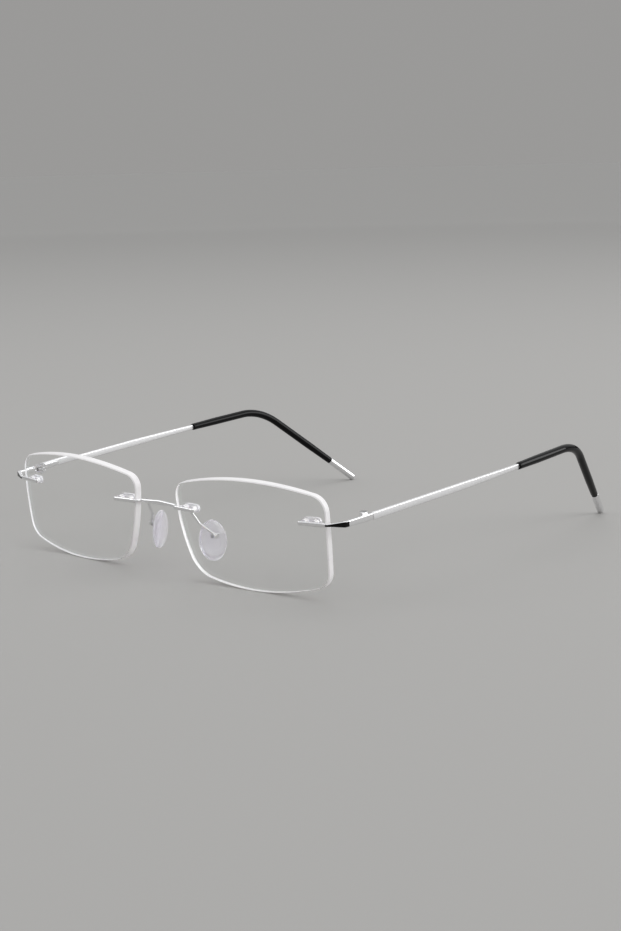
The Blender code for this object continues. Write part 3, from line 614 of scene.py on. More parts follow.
def growing(points: Outline) -> Grower:
    """Any closed outline, run against the clock, that can grow along its normals.

    Args:
        points: The outline.

    Returns:
        The outline, grown by a length.
    """
    def grown(grow: float) -> Outline:
        """The outline moved outwards.

        Args:
            grow: The length.

        Returns:
            The outline.
        """
        moved = []
        for index, (x, y) in enumerate(points):
            before, after = points[index - 1], points[(index + 1) % len(points)]
            run = Vector((after[0] - before[0], after[1] - before[1])).normalized()
            moved.append((x + run.y * grow, y - run.x * grow))
        return moved
    return grown


def between(distance: float, table: Sequence[tuple[float, object]]) -> object:
    """Reads a value from rows of (distance, value), on straight lines between them.

    Args:
        distance: Where to read.
        table: The rows in order.

    Returns:
        The value.
    """
    if distance <= table[0][0]:
        return table[0][1]
    for (start, low), (end, high) in zip(table, table[1:]):
        if distance <= end:
            return low + (high - low) * ((distance - start) / (end - start))
    return table[-1][1]


def mirrored(mesh: Mesh) -> Mesh:
    """A copy of a mesh on the other side of the glasses.

    Args:
        mesh: The left one.

    Returns:
        The right one.
    """
    copy = mesh.copy()
    copy.transform(MIRROR)
    copy.flip_normals()
    return copy


# Spines


@dataclass(frozen=True)
class Section:
    """A rectangle with rounded edges, square to a spine."""

    thickness: float
    height: float
    edge: float

    @classmethod
    def round(cls, radius: float) -> Section:
        """A round section."""
        return cls(2.0 * radius, 2.0 * radius, radius)

    def inset(self, amount: float) -> Section:
        """The section drawn in on every side, or a point for a pole.

        Args:
            amount: How far, or POLE.

        Returns:
            The section.
        """
        if amount == POLE:
            return Section(0.0, 0.0, 0.0)
        thickness, height = self.thickness - 2.0 * amount, self.height - 2.0 * amount
        return Section(thickness, height, max(0.0, self.edge - amount))

    def blend(self, other: Section, share: float) -> Section:
        """A section part of the way to another.

        Args:
            other: The other section.
            share: How far, from 0 to 1.

        Returns:
            The section.
        """
        return Section(self.thickness + (other.thickness - self.thickness) * share,
                       self.height + (other.height - self.height) * share,
                       self.edge + (other.edge - self.edge) * share)


@dataclass
class Spine:
    """A smooth centre line whose places are found by their distance along it."""

    points: list[Vector]
    along: list[float] = field(init=False)

    def __post_init__(self) -> None:
        """Measures the line."""
        self.along = [0.0]
        for start, end in zip(self.points, self.points[1:]):
            self.along.append(self.along[-1] + (end - start).length)

    @classmethod
    def filleted(cls, corners: Sequence[Vector], radii: Sequence[float], steps: int = 14) -> Spine:
        """A line through corners, with an arc at each inner one.

        Args:
            corners: The ends and the corners between them.
            radii: The radius of each arc.
            steps: How many straight pieces an arc has.

        Returns:
            The spine.
        """
        path = [corners[0].copy()]
        for before, corner, after, radius in zip(corners, corners[1:], corners[2:], radii):
            back, ahead = (before - corner).normalized(), (after - corner).normalized()
            half_angle = back.angle(ahead) / 2.0
            reach = radius / math.tan(half_angle)
            centre = corner + (back + ahead).normalized() * (radius / math.sin(half_angle))
            start, end = corner + back * reach - centre, corner + ahead * reach - centre
            sweep = start.angle(end)
            for k in range(steps + 1):
                done = sweep * k / steps
                arm = (start * math.sin(sweep - done) + end * math.sin(done)) / math.sin(sweep)
                path.append(centre + arm)
        path.append(corners[-1].copy())
        return cls(path)

    @property
    def total(self) -> float:
        """The whole length."""
        return self.along[-1]

    def point(self, distance: float) -> Vector:
        """The point at a distance from the start.

        Args:
            distance: The distance.

        Returns:
            The point.
        """
        last = len(self.points) - 2
        index = next((k for k in range(last) if distance <= self.along[k + 1]), last)
        step = self.along[index + 1] - self.along[index]
        return self.points[index].lerp(self.points[index + 1], (distance - self.along[index]) / step)

    def direction(self, distance: float) -> Vector:
        """The direction at a distance from the start.

        Args:
            distance: The distance.

        Returns:
            A unit vector.
        """
        before = self.point(max(0.0, distance - DIRECTION_REACH))
        after = self.point(min(self.total, distance + DIRECTION_REACH))
        return (after - before).normalized()

    def stops(self, start: float, end: float, extra: Sequence[float] = (), step: float = 0.002) -> list[float]:
        """Distances between two places, none too far apart.

        Args:
            start: The first distance.
            end: The last distance.
            extra: Distances that have to be among them.
            step: The longest step.

        Returns:
            The distances in order, with every point of the spine among them.
        """
        wanted = sorted({start, end, *extra, *[d for d in self.along if start < d < end]})
        wanted = [d for k, d in enumerate(wanted) if k == 0 or d - wanted[k - 1] > SHORTEST_STEP]
        wanted[-1] = end
        stops = [wanted[0]]
        for stop in wanted[1:]:
            first = stops[-1]
            pieces = max(1, math.ceil((stop - first) / step))
            stops += [first + (stop - first) * (k + 1) / pieces for k in range(pieces)]
        return stops


@dataclass
class Sweep:
    """A solid drawn along a spine, ring by ring, and skinned by Geometry Nodes."""

    trees: GeometryTrees
    spine: Spine
    up: Callable[[float], Vector]
    rings: list[tuple[Vector, Vector, Vector, Section]] = field(default_factory=list)

    def ring(self, distance: float, section: Section, aside: float = 0.0) -> None:
        """Adds a ring at a distance, moved aside if asked.

        Args:
            distance: How far from the start.
            section: Its section.
            aside: How far aside.
        """
        ahead = self.spine.direction(distance)
        across = ahead.cross(self.up(distance)).normalized()
        upward = across.cross(ahead).normalized()
        self.rings.append((self.spine.point(distance) + across * aside, across, upward, section))

    def bar(self, start: float, end: float, section: Callable[[float], Section], start_edge: float,
            end_edge: float, extra: Sequence[float] = (), step: float = 0.002,
            aside: Callable[[float], float] | None = None) -> None:
        """Adds the rings of a closed bar with rounded ends.

        Args:
            start: Where the bar starts along the spine.
            end: Where it ends.
            section: Gives the section at a distance.
            start_edge: The radius of the rim at the start.
            end_edge: The radius of the rim at the end.
            extra: Distances that need a ring.
            step: The longest step between rings.
            aside: Gives how far the bar lies beside the spine.
        """
        begin = [(start, POLE)] + [(start + back, inset) for back, inset in round_steps(start_edge)]
        finish = [(end, POLE)] + [(end - back, inset) for back, inset in round_steps(end_edge)]
        middle = self.spine.stops(start + start_edge, end - end_edge, extra, step)[1:-1]
        rows = begin + [(distance, 0.0) for distance in middle] + finish[::-1]
        for distance, inset in rows:
            self.ring(distance, section(distance).inset(inset), aside(distance) if aside else 0.0)

    def mesh(self, edge_points: int = 8) -> Mesh:
        """The skinned solid.

        Args:
            edge_points: How many points round each of the four edges of a section.

        Returns:
            The closed mesh.
        """
        spine = bpy.data.meshes.new("spine")
        spine.from_pydata([tuple(row[0]) for row in self.rings],
                          [(k, k + 1) for k in range(len(self.rings) - 1)], [])
        for name, column in (("across", 1), ("upward", 2)):
            values = [value for row in self.rings for value in row[column]]
            spine.attributes.new(name, "FLOAT_VECTOR", "POINT").data.foreach_set("vector", values)
        for name in ("thickness", "height", "edge"):
            values = [getattr(row[3], name) for row in self.rings]
            spine.attributes.new(name, "FLOAT", "POINT").data.foreach_set("value", values)
        skin = self.trees.run(self.trees.skin, spine, {"Edge Points": edge_points,
                                                       "Merge Distance": MERGE_DISTANCE})
        return facing_out(skin)


# Effects that several finishes share


class SurfaceEffects:
    """Shader node groups for grain, haze, specks and fine scratches."""

    def __init__(self) -> None:
        """Builds each group once."""
        self.grain = self._grain_group()
        self.haze = self._haze_group()
        self.scratches = self._scratch_group()
        self.specks = self._speck_group()

    @staticmethod
    def _start(name: str, inputs: Mapping[str, object], outputs: Mapping[str, str]) -> tuple[TreeMaker, Node]:
        """A new group with its sockets and its input node.

        Args:
            name: The group's name.
            inputs: Its inputs.
            outputs: Its outputs.

        Returns:
            What adds its nodes, and the input node.
        """
        tree = bpy.data.node_groups.new(name, "ShaderNodeTree")
        named_sockets(tree, inputs, outputs)
        maker = TreeMaker(tree)
        return maker, maker.add("NodeGroupInput")

    def _grain_group(self) -> NodeTree:
        """Brushed lines that run along Y.

        Returns:
            The group.
        """
        maker, given = self._start("Brushed Grain", {
            "Vector": "NodeSocketVector", "Across Scale": ("NodeSocketFloat", 9000.0),
            "Along Scale": ("NodeSocketFloat", 300.0)}, {"Grain": "NodeSocketFloat"})
        stretch = maker.add("ShaderNodeCombineXYZ", {"X": given.outputs["Across Scale"],
                                                     "Y": given.outputs["Along Scale"],
                                                     "Z": given.outputs["Across Scale"]})
        place = maker.vector_math("MULTIPLY", given.outputs["Vector"], stretch.outputs[0])
        fine = maker.add("ShaderNodeTexNoise", {"Vector": place, "Scale": 1.0, "Detail": 3.0, "Roughness": 0.6})
        broad = maker.add("ShaderNodeTexNoise", {"Vector": place, "Scale": 0.23, "Detail": 2.0})
        both = maker.math("ADD", maker.math("MULTIPLY", fine.outputs[0], 0.65),
                          maker.math("MULTIPLY", broad.outputs[0], 0.35))
        maker.add("NodeGroupOutput", {"Grain": maker.remap(both, (0.3, 0.7), (0.0, 1.0))})
        return maker.tree

    def _haze_group(self) -> NodeTree:
        """Soft clouds, as finger grease or uneven polish leaves.

        Returns:
            The group.
        """
        maker, given = self._start("Soft Haze", {
            "Vector": "NodeSocketVector", "Scale": ("NodeSocketFloat", 120.0),
            "Cover": ("NodeSocketFloat", 0.5)}, {"Mask": "NodeSocketFloat"})
        cloud = maker.add("ShaderNodeTexNoise", {"Vector": given.outputs["Vector"],
                                                 "Scale": given.outputs["Scale"], "Detail": 4.0,
                                                 "Roughness": 0.55, "Distortion": 0.8})
        low = maker.math("SUBTRACT", 0.75, maker.math("MULTIPLY", given.outputs["Cover"], 0.5))
        mask = maker.add("ShaderNodeMapRange", {"Value": cloud.outputs[0], "From Min": low,
                                                "From Max": maker.math("ADD", low, 0.25)}, clamp=True)
        maker.add("NodeGroupOutput", {"Mask": mask.outputs[0]})
        return maker.tree

    def _scratch_group(self) -> NodeTree:
        """Hair-thin scratches in two directions.

        Returns:
            The group.
        """
        maker, given = self._start("Fine Scratches", {
            "Vector": "NodeSocketVector", "Scale": ("NodeSocketFloat", 500.0)}, {"Mask": "NodeSocketFloat"})
        lines = []
        for angle, stretch in ((0.5, 14.0), (-0.9, 11.0)):
            turned = maker.add("ShaderNodeMapping", {"Vector": given.outputs["Vector"],
                                                     "Rotation": (angle, angle * 0.7, angle),
                                                     "Scale": (stretch, 1.0, stretch)})
            cells = maker.add("ShaderNodeTexVoronoi", {"Vector": turned.outputs[0],
                                                       "Scale": given.outputs["Scale"]},
                              feature="DISTANCE_TO_EDGE")
            thin = maker.remap(cells.outputs["Distance"], (0.0, 0.02), (1.0, 0.0))
            fade = maker.add("ShaderNodeTexNoise", {"Vector": turned.outputs[0], "Scale": 60.0})
            lines.append(maker.math("MULTIPLY", thin, maker.remap(fade.outputs[0], (0.5, 0.7), (0.0, 1.0))))
        maker.add("NodeGroupOutput", {"Mask": maker.math("MAXIMUM", lines[0], lines[1])})
        return maker.tree

    def _speck_group(self) -> NodeTree:
        """Scattered specks of dust or tiny pits.

        Returns:
            The group.
        """
        maker, given = self._start("Specks", {
            "Vector": "NodeSocketVector", "Scale": ("NodeSocketFloat", 900.0),
            "Size": ("NodeSocketFloat", 0.12)}, {"Mask": "NodeSocketFloat"})
        cells = maker.add("ShaderNodeTexVoronoi", {"Vector": given.outputs["Vector"],
                                                   "Scale": given.outputs["Scale"], "Randomness": 1.0})
        dots = maker.math("LESS_THAN", cells.outputs["Distance"], given.outputs["Size"])
        chance = maker.add("ShaderNodeSeparateColor", {"Color": cells.outputs["Color"]})
        rare = maker.math("GREATER_THAN", chance.outputs[0], 0.82)
        maker.add("NodeGroupOutput", {"Mask": maker.math("MULTIPLY", dots, rare)})
        return maker.tree


# Finishes


class MaterialSheet:
    """One material in the making: its shader, its Object coordinates and the shared effects."""

    def __init__(self, name: str, effects: SurfaceEffects) -> None:
        """Starts a material with a Principled shader.

        Args:
            name: The material's name.
            effects: The shared effects.
        """
        self.effects = effects
        self.material = bpy.data.materials.new(name)
        self.material.use_nodes = True
        self.maker = TreeMaker(self.material.node_tree)
        self.shader = self.material.node_tree.nodes["Principled BSDF"]
        self.output = self.material.node_tree.nodes["Material Output"]
        self.place = self.maker.add("ShaderNodeTexCoord").outputs["Object"]

    def set(self, **values: object) -> None:
        """Sets the shader's own sockets, with underscores for spaces."""
        for name, value in values.items():
            self.shader.inputs[name.replace("_", " ")].default_value = value

    def effect(self, group: NodeTree, **values: float) -> NodeSocket:
        """The first output of a shared effect on this surface."""
        feeds = {"Vector": self.place, **{name.replace("_", " "): value for name, value in values.items()}}
        return self.maker.add("ShaderNodeGroup", feeds, node_tree=group).outputs[0]

    def tint(self, mask: object, plain: Color, marked: Color) -> None:
        """Colours the surface between two shades by a mask."""
        mix = self.maker.add("ShaderNodeMix", {0: mask, 6: (*plain, 1.0), 7: (*marked, 1.0)}, data_type="RGBA")
        self.maker.tree.links.new(mix.outputs[2], self.shader.inputs["Base Color"])

    def rough(self, base: float, *terms: tuple[object, float]) -> None:
        """Sets the roughness to a base plus masks times amounts.

        Args:
            base: The base.
            terms: The masks and their amounts.
        """
        total: object = base
        for mask, amount in terms:
            total = self.maker.math("MULTIPLY_ADD", mask, amount, total)
        self.maker.tree.links.new(total, self.shader.inputs["Roughness"])

    def bump(self, height: object, strength: float, distance: float) -> None:
        """Raises the surface by a height map."""
        bump = self.maker.add("ShaderNodeBump", {"Height": height, "Strength": strength, "Distance": distance})
        self.maker.tree.links.new(bump.outputs[0], self.shader.inputs["Normal"])

    def let_lamps_through(self, color: Color) -> None:
        """Lets light from the lamps pass, so that a clear piece throws only a faint shadow.

        Args:
            color: The tint of the light.
        """
        path = self.maker.add("ShaderNodeLightPath")
        clear = self.maker.add("ShaderNodeBsdfTransparent", {"Color": (*color, 1.0)})
        mix = self.maker.add("ShaderNodeMixShader", {0: path.outputs["Is Shadow Ray"],
                                                     1: self.shader.outputs[0], 2: clear.outputs[0]})
        self.maker.tree.links.new(mix.outputs[0], self.output.inputs["Surface"])


@dataclass(frozen=True)
class MetalFinish:
    """Plated or plain metal with a grain, a haze and a few scratches."""

    name: str
    color: Color
    roughness: float
    grain_depth: float
    grain_spread: float
    across_scale: float
    along_scale: float

    def make(self, effects: SurfaceEffects) -> Material:
        """Builds the material.

        Args:
            effects: The shared effects.

        Returns:
            The material.
        """
        sheet = MaterialSheet(self.name, effects)
        sheet.set(Metallic=1.0)
        haze = sheet.effect(effects.haze, Scale=260.0, Cover=0.45)
        grain = sheet.effect(effects.grain, Across_Scale=self.across_scale, Along_Scale=self.along_scale)
        scratches = sheet.effect(effects.scratches, Scale=420.0)
        darker = tuple(0.90 * value for value in self.color)
        sheet.tint(sheet.maker.math("MULTIPLY_ADD", haze, 0.4, sheet.maker.math("MULTIPLY", grain, 0.15)),
                   self.color, darker)
        sheet.rough(self.roughness, (grain, self.grain_spread), (haze, 0.04), (scratches, 0.05))
        height = sheet.maker.math("MULTIPLY_ADD", scratches, -0.25, grain)
        sheet.bump(height, 0.25, self.grain_depth)
        return sheet.material


@dataclass(frozen=True)
class ClearFinish:
    """Clear plastic or silicone with a faint tint, haze and dust."""

    name: str
    color: Color
    hazed: Color
    roughness: float
    transmission: float
    ior: float
    film_thickness: float
    haze_scale: float
    lamp_color: Color
    sheen: float = 0.0

    def make(self, effects: SurfaceEffects) -> Material:
        """Builds the material.

        Args:
            effects: The shared effects.

        Returns:
            The material.
        """
        sheet = MaterialSheet(self.name, effects)
        sheet.set(IOR=self.ior, Transmission_Weight=self.transmission)
        if self.film_thickness:
            sheet.set(Thin_Film_Thickness=self.film_thickness, Thin_Film_IOR=1.38)
        if self.sheen:
            sheet.set(Sheen_Weight=self.sheen, Sheen_Roughness=0.5)
        haze = sheet.effect(effects.haze, Scale=self.haze_scale, Cover=0.35)
        specks = sheet.effect(effects.specks, Scale=700.0, Size=0.08)
        sheet.tint(sheet.maker.math("MAXIMUM", haze, specks), self.color, self.hazed)
        sheet.rough(self.roughness, (haze, 0.03), (specks, 0.15))
        sheet.let_lamps_through(self.lamp_color)
        return sheet.material


@dataclass(frozen=True)
class GroundFinish:
    """The frosted edge that a grinding wheel leaves on a lens."""

    name: str = "ground_lens_edge"
    color: Color = (0.97, 0.955, 0.96)
    marked: Color = (0.92, 0.89, 0.91)
    lamp_color: Color = (0.80, 0.79, 0.80)
    wheel_depth: float = 0.000008

    def make(self, effects: SurfaceEffects) -> Material:
        """Builds the material.

        Args:
            effects: The shared effects.

        Returns:
            The material.
        """
        sheet = MaterialSheet(self.name, effects)
        sheet.set(IOR=1.5, Transmission_Weight=0.06)
        wheel = sheet.effect(effects.grain, Across_Scale=2600.0, Along_Scale=9000.0)
        haze = sheet.effect(effects.haze, Scale=180.0, Cover=0.5)
        sheet.tint(haze, self.color, self.marked)
        sheet.rough(0.40, (wheel, 0.16))
        sheet.bump(wheel, 0.3, self.wheel_depth)
        sheet.let_lamps_through(self.lamp_color)
        return sheet.material


@dataclass(frozen=True)
class GlossFinish:
    """Black plastic, or a black plate that paints a dark reflection, with a slightly wavy gloss."""

    name: str
    color: Color
    roughness: float
    wave_depth: float
    gloss: float

    def make(self, effects: SurfaceEffects) -> Material:
        """Builds the material.

        Args:
            effects: The shared effects.

        Returns:
            The material.
        """
        sheet = MaterialSheet(self.name, effects)
        sheet.set(IOR=1.5, Specular_IOR_Level=self.gloss)
        haze = sheet.effect(effects.haze, Scale=190.0, Cover=0.5)
        specks = sheet.effect(effects.specks, Scale=1100.0, Size=0.10)
        scratches = sheet.effect(effects.scratches, Scale=300.0)
        sheet.tint(sheet.maker.math("MULTIPLY_ADD", haze, 0.3, specks), self.color,
                   tuple(value + 0.002 for value in self.color))
        sheet.rough(self.roughness, (haze, 0.03), (specks, 0.08), (scratches, 0.04))
        wave = sheet.maker.add("ShaderNodeTexNoise", {"Vector": sheet.place, "Scale": 160.0, "Detail": 1.0})
        sheet.bump(wave.outputs[0], 0.2, self.wave_depth)
        return sheet.material


class Finish(Enum):
    """Every finish on the glasses."""

    LENS = ClearFinish("lens_clear", (0.985, 0.988, 0.986), (0.955, 0.958, 0.958), 0.0, 1.0, 1.5, 330.0, 45.0,
                       (0.93, 0.93, 0.93))
    EDGE = GroundFinish()
    PAD = ClearFinish("pad_silicone", (0.95, 0.935, 0.985), (0.91, 0.895, 0.95), 0.05, 0.84, 1.42, 0.0, 300.0,
                      (0.84, 0.82, 0.86), 1.0)
    INSERT = ClearFinish("insert_clear", (0.985, 0.982, 0.992), (0.95, 0.945, 0.965), 0.03, 0.98, 1.06, 0.0, 500.0,
                         (0.92, 0.91, 0.93))
    BUSHING = ClearFinish("bushing_clear", (0.98, 0.97, 0.99), (0.94, 0.92, 0.96), 0.12, 0.35, 1.53, 0.0, 500.0,
                          (0.80, 0.79, 0.82))
    POLISHED = MetalFinish("polished_silver", (0.87, 0.87, 0.88), 0.16, 0.000002, 0.03, 5200.0, 2600.0)
    SATIN = MetalFinish("satin_silver", (0.84, 0.84, 0.85), 0.36, 0.000002, 0.05, 11000.0, 260.0)
    SCREW = MetalFinish("screw_steel", (0.58, 0.58, 0.59), 0.16, 0.000006, 0.10, 9000.0, 9000.0)
    SLEEVE = GlossFinish("sleeve_gloss_black", (0.002, 0.002, 0.0024), 0.05, 0.000002, 0.14)
    # Painted dark reflection: black standing in for the dark surroundings mirrored in the polished corner.
    PAINTED_DARK_REFLECTION = GlossFinish("corner_painted_dark_reflection", (0.003, 0.003, 0.003), 0.08, 0.000002, 0.15)


# Sub-assemblies


@dataclass
class LensShape:
    """A lens in its own frame: u to the temple, v up, y back."""

    width: float = 0.0530
    height: float = 0.0310
    bows: tuple[float, float, float, float] = (0.0034, 0.0005, 0.0032, 0.0016)
    top_rise: float = 0.0008
    bottom_rise: float = 0.0014
    nasal_taper: float = 0.0065
    temporal_taper: float = 0.0005
    corners: tuple[float, float, float, float] = (0.0034, 0.0038, 0.0036, 0.0043)
    corner_fullness: float = 0.6
    side_steps: tuple[int, int, int, int] = (56, 30, 56, 30)
    corner_steps: int = 14
    thickness: float = 0.0030
    front_radius: float = 0.170
    back_radius: float = 0.250
    optical_inset: float = 0.0030
    chamfer: float = 0.00025
    rings: int = 9
    gap: float = 0.0159
    wrap: float = 2.6
    tilt: float = 5.5
    coarse_steps: tuple[int, int, int, int] = (11, 5, 11, 5)
    coarse_corner_steps: int = 5
    ground_below: float = 0.85

    def outline(self, side_steps: tuple[int, int, int, int], corner_steps: int) -> list[Vector]:
        """The edge of the lens: four bowed sides with rounded corners.

        Args:
            side_steps: How many pieces each side has: top, temporal, bottom, nasal.
            corner_steps: How many pieces a corner has.

        Returns:
            The points of the outline.
        """
        half_width, half_height = self.width / 2, self.height / 2
        top, bottom = half_height - self.bows[0], self.bows[2] - half_height
        outer = half_width - self.bows[1] / 2
        tips = [Vector((-half_width, top - self.top_rise / 2)), Vector((outer, top + self.top_rise / 2)),
                Vector((outer - self.temporal_taper, bottom + self.bottom_rise / 2)),
                Vector((self.nasal_taper - half_width, bottom - self.bottom_rise / 2))]

        def on_side(side: int, share: float) -> Vector:
            """A point on a bowed side.

            Args:
                side: The number of the side.
                share: How far along it, from 0 to 1.

            Returns:
                The point.
            """
            start, end = tips[side], tips[(side + 1) % 4]
            run = end - start
            outward = Vector((-run.y, run.x)).normalized()
            return start + run * share + outward * (4.0 * self.bows[side] * share * (1.0 - share))

        def shares(side: int) -> Pair:
            """Where a side's own part starts and ends between its corners."""
            run = (tips[(side + 1) % 4] - tips[side]).length
            return self.corners[side] / run, 1.0 - self.corners[(side + 1) % 4] / run

        points = []
        for side in range(4):
            first, last = shares(side)
            steps = side_steps[side]
            points += [on_side(side, first + (last - first) * k / steps) for k in range(steps + 1)]
            after = (side + 1) % 4
            start, end, corner = on_side(side, last), on_side(after, shares(after)[0]), tips[after]
            lead_out, lead_in = start.lerp(corner, self.corner_fullness), end.lerp(corner, self.corner_fullness)
            for k in range(1, corner_steps):
                t = k / corner_steps
                s = 1.0 - t
                points.append(start * s**3 + lead_out * (3 * s * s * t) + lead_in * (3 * s * t * t) + end * t**3)
        return points

    def front_depth(self, u: float, v: float) -> float:
        """Depth of the front surface behind the middle of the outline."""
        return self._sag(self.front_radius, u, v) - self._middle_sag()

    def back_depth(self, u: float, v: float) -> float:
        """Depth of the back surface."""
        return self.thickness - self._middle_sag() + self._sag(self.back_radius, u, v)

    def _sag(self, radius: float, u: float, v: float) -> float:
        """How far a sphere about the optical centre falls away."""
        return radius - math.sqrt(radius * radius - (u + self.optical_inset) ** 2 - v * v)

    def _middle_sag(self) -> float:
        """How far the front surface falls away at the middle of the outline."""
        return self._sag(self.front_radius, 0.0, 0.0)

    def stance(self) -> Matrix:
        """The turn of the left lens."""
        return turn(self.wrap, "Z") @ turn(self.tilt, "X")

    def place(self) -> Matrix:
        """Where the left lens stands on the table, with the solid's own coarse outline.

        Returns:
            The place.
        """
        outline = self.outline(self.coarse_steps, self.coarse_corner_steps)
        stance = self.stance()
        lowest = min((stance @ Vector((p.x, depth, p.y))).z for p in outline
                     for depth in (self.front_depth(p.x, p.y) + self.chamfer,
                                   self.back_depth(p.x, p.y) - self.chamfer))
        return Matrix.Translation(((self.gap + self.width) / 2, 0.0, -lowest)) @ stance

    def blank(self) -> Mesh:
        """The lens before drilling, in its own frame.

        Returns:
            The mesh.
        """
        outline = [(p.x, p.y) for p in self.outline(self.side_steps, self.corner_steps)]
        rim = growing(outline)(self.chamfer)
        scales = [(k + 1) / self.rings for k in range(self.rings)]
        rings = [[Vector((x * s, self.front_depth(x * s, y * s), y * s)) for x, y in rim] for s in scales]
        rings.append([Vector((x, self.front_depth(x, y) + self.chamfer, y)) for x, y in outline])
        rings.append([Vector((x, self.back_depth(x, y) - self.chamfer, y)) for x, y in outline])
        rings += [[Vector((x * s, self.back_depth(x * s, y * s), y * s)) for x, y in rim]
                  for s in reversed(scales)]
        count = len(outline)
        vertices = [point for ring in rings for point in ring]
        vertices += [Vector((0.0, self.front_depth(0.0, 0.0), 0.0)), Vector((0.0, self.back_depth(0.0, 0.0), 0.0))]
        faces = ring_walls(len(rings), count)
        last_row = (len(rings) - 1) * count
        for column in range(count):
            beside = (column + 1) % count
            faces.append((len(vertices) - 2, beside, column))
            faces.append((len(vertices) - 1, last_row + column, last_row + beside))
        return mesh_from(vertices, faces)

    def edge_reach(self, height: float, direction: float) -> float:
        """Where the edge of the lens is at a height.

        Args:
            height: The height above the middle.
            direction: The nasal (-1) or the temporal (+1) side.

        Returns:
            The place of the edge along u.
        """
        outline = self.outline(self.coarse_steps, self.coarse_corner_steps)
        found = []
        for start, end in zip(outline, outline[1:] + outline[:1]):
            if (start.y - height) * (end.y - height) <= 0.0 and start.y != end.y:
                found.append(start.x + (end.x - start.x) * (height - start.y) / (end.y - start.y))
        return max(found) if direction > 0 else min(found)

    def surface_frame(self, u: float, v: float) -> Matrix:
        """A frame on the front surface: x to the temple, y into the lens, z up.

        Args:
            u: The place across the lens.
            v: The place up the lens.

        Returns:
            The frame.
        """
        inward = Vector((-(u + self.optical_inset), 0.0, -v)) / self.front_radius
        inward.y = math.sqrt(1.0 - inward.length_squared)
        sideways = (ACROSS_AXIS - inward * ACROSS_AXIS.dot(inward)).normalized()
        frame = Matrix((sideways, inward, sideways.cross(inward))).transposed().to_4x4()
        return Matrix.Translation((u, self.front_depth(u, v), v)) @ frame

    def dress(self, mesh: Mesh, clear: Material, ground: Material) -> None:
        """Gives each face of a lens its finish.

        Args:
            mesh: The left lens in its place.
            clear: The finish of the faces.
            ground: The finish of the edge, the chamfers and the bores.
        """
        mesh.materials.clear()
        mesh.materials.append(clear)
        mesh.materials.append(ground)
        back = (self.place().to_3x3() @ Vector((0.0, 1.0, 0.0))).normalized()
        for face in mesh.polygons:
            face.material_index = int(abs(face.normal.dot(back)) < self.ground_below)


@dataclass(frozen=True)
class MountSizes:
    """The posts, bars and bushings of every mount."""

    overrun: float = 0.0013
    bar_height: float = 0.00120
    bar_thickness: float = 0.00090
    post_radius: float = 0.00045
    post_proud: float = 0.00020
    bushing_radius: float = 0.00080
    head_radius: float = 0.00115
    head_thickness: float = 0.00085
    head_rims: Pair = (0.00008, 0.00022)
    post_rim: float = 0.00016
    tube_rim: float = 0.00006
    pin_sides: int = 32


@dataclass
class Mount:
    """Two posts in a lens, in clear bushings."""

    trees: GeometryTrees
    lens: LensShape
    height: float
    direction: float
    first_post: float
    pitch: float
    sizes: MountSizes = MountSizes()
    place: Matrix = field(init=False)
    head_start: float = field(init=False)

    def __post_init__(self) -> None:
        """Finds the mount's frame and the depth of the bushing's head."""
        offset = self.first_post + self.pitch / 2
        middle = self.lens.edge_reach(self.height, self.direction) - self.direction * offset
        local = self.lens.surface_frame(middle, self.height)
        self.place = self.lens.place() @ local
        to_local = local.inverted()
        reach = self.pitch / 2 + self.sizes.head_radius
        depths = []
        for x in (-reach, reach):
            for z in (-self.sizes.head_radius, self.sizes.head_radius):
                seen = local @ Vector((x, 0.0, z))
                depths.append((to_local @ Vector((seen.x, self.lens.back_depth(seen.x, seen.z), seen.z))).y)
        self.head_start = max(depths) + SEAT_GAP

    @property
    def head_end(self) -> float:
        """The depth of the back of the bushing's head."""
        return self.head_start + self.sizes.head_thickness

    @property
    def edge(self) -> float:
        """Where the lens edge is along the mount."""
        return self.direction * (self.first_post + self.pitch / 2)

    @property
    def end(self) -> float:
        """Where the bar ends on the lens."""
        return -self.direction * (self.pitch / 2 + self.sizes.overrun)

    def bar_point(self, x: float) -> Vector:
        """A point on the centre line of the bar, in front of the lens."""
        return self.place @ Vector((x, -SEAT_GAP - self.sizes.bar_thickness / 2, 0.0))

    def up(self) -> Vector:
        """The direction across the bar."""
        return (self.place.to_3x3() @ UP_AXIS).normalized()

    def pins(self, radius: float, start: float, end: float, start_edge: float = 0.0,
             end_edge: float = 0.0) -> Mesh:
        """A pin at each post.

        Args:
            radius: The radius of a pin.
            start: The depth at which it starts.
            end: The depth at which it ends.
            start_edge: The radius of its front rim.
            end_edge: The radius of its back rim.

        Returns:
            Both pins in one mesh, in their place.
        """
        pin = soft_prism(disc(radius, self.sizes.pin_sides), start, end, turn(-90.0, "X"), start_edge, end_edge)
        both = self.trees.in_row(pin, 2, self.pitch)
        both.transform(self.place)
        return both

    def posts(self) -> Mesh:
        """The posts, from the middle of the bar to just past the bushing's head.

        Returns:
            The mesh.
        """
        start = -SEAT_GAP - self.sizes.bar_thickness / 2
        return self.pins(self.sizes.post_radius, start, self.head_end + self.sizes.post_proud, 0.0,
                         self.sizes.post_rim)

    def holes(self) -> Mesh:
        """What the drill takes from the lens."""
        return self.pins(self.sizes.bushing_radius + BORE_CLEARANCE, -self.head_end, self.head_end)

    def bushing(self) -> Mesh:
        """The double sleeve: a head across the back of the lens and a tube through each hole.

        Returns:
            The mesh.
        """
        flat = self.place @ turn(-90.0, "X")
        head = soft_prism(stadium(self.pitch, self.sizes.head_radius), self.head_start, self.head_end, flat,
                          *self.sizes.head_rims)
        tubes = self.pins(self.sizes.bushing_radius, SEAT_GAP, self.head_end - self.sizes.head_thickness / 2,
                          self.sizes.tube_rim)
        bores = self.pins(self.sizes.post_radius + BORE_CLEARANCE, -self.head_end, 2 * self.head_end)
        body = self.trees.worked(head, Combine.UNITE, tubes)
        return self.trees.worked(body, Combine.CUT, bores)


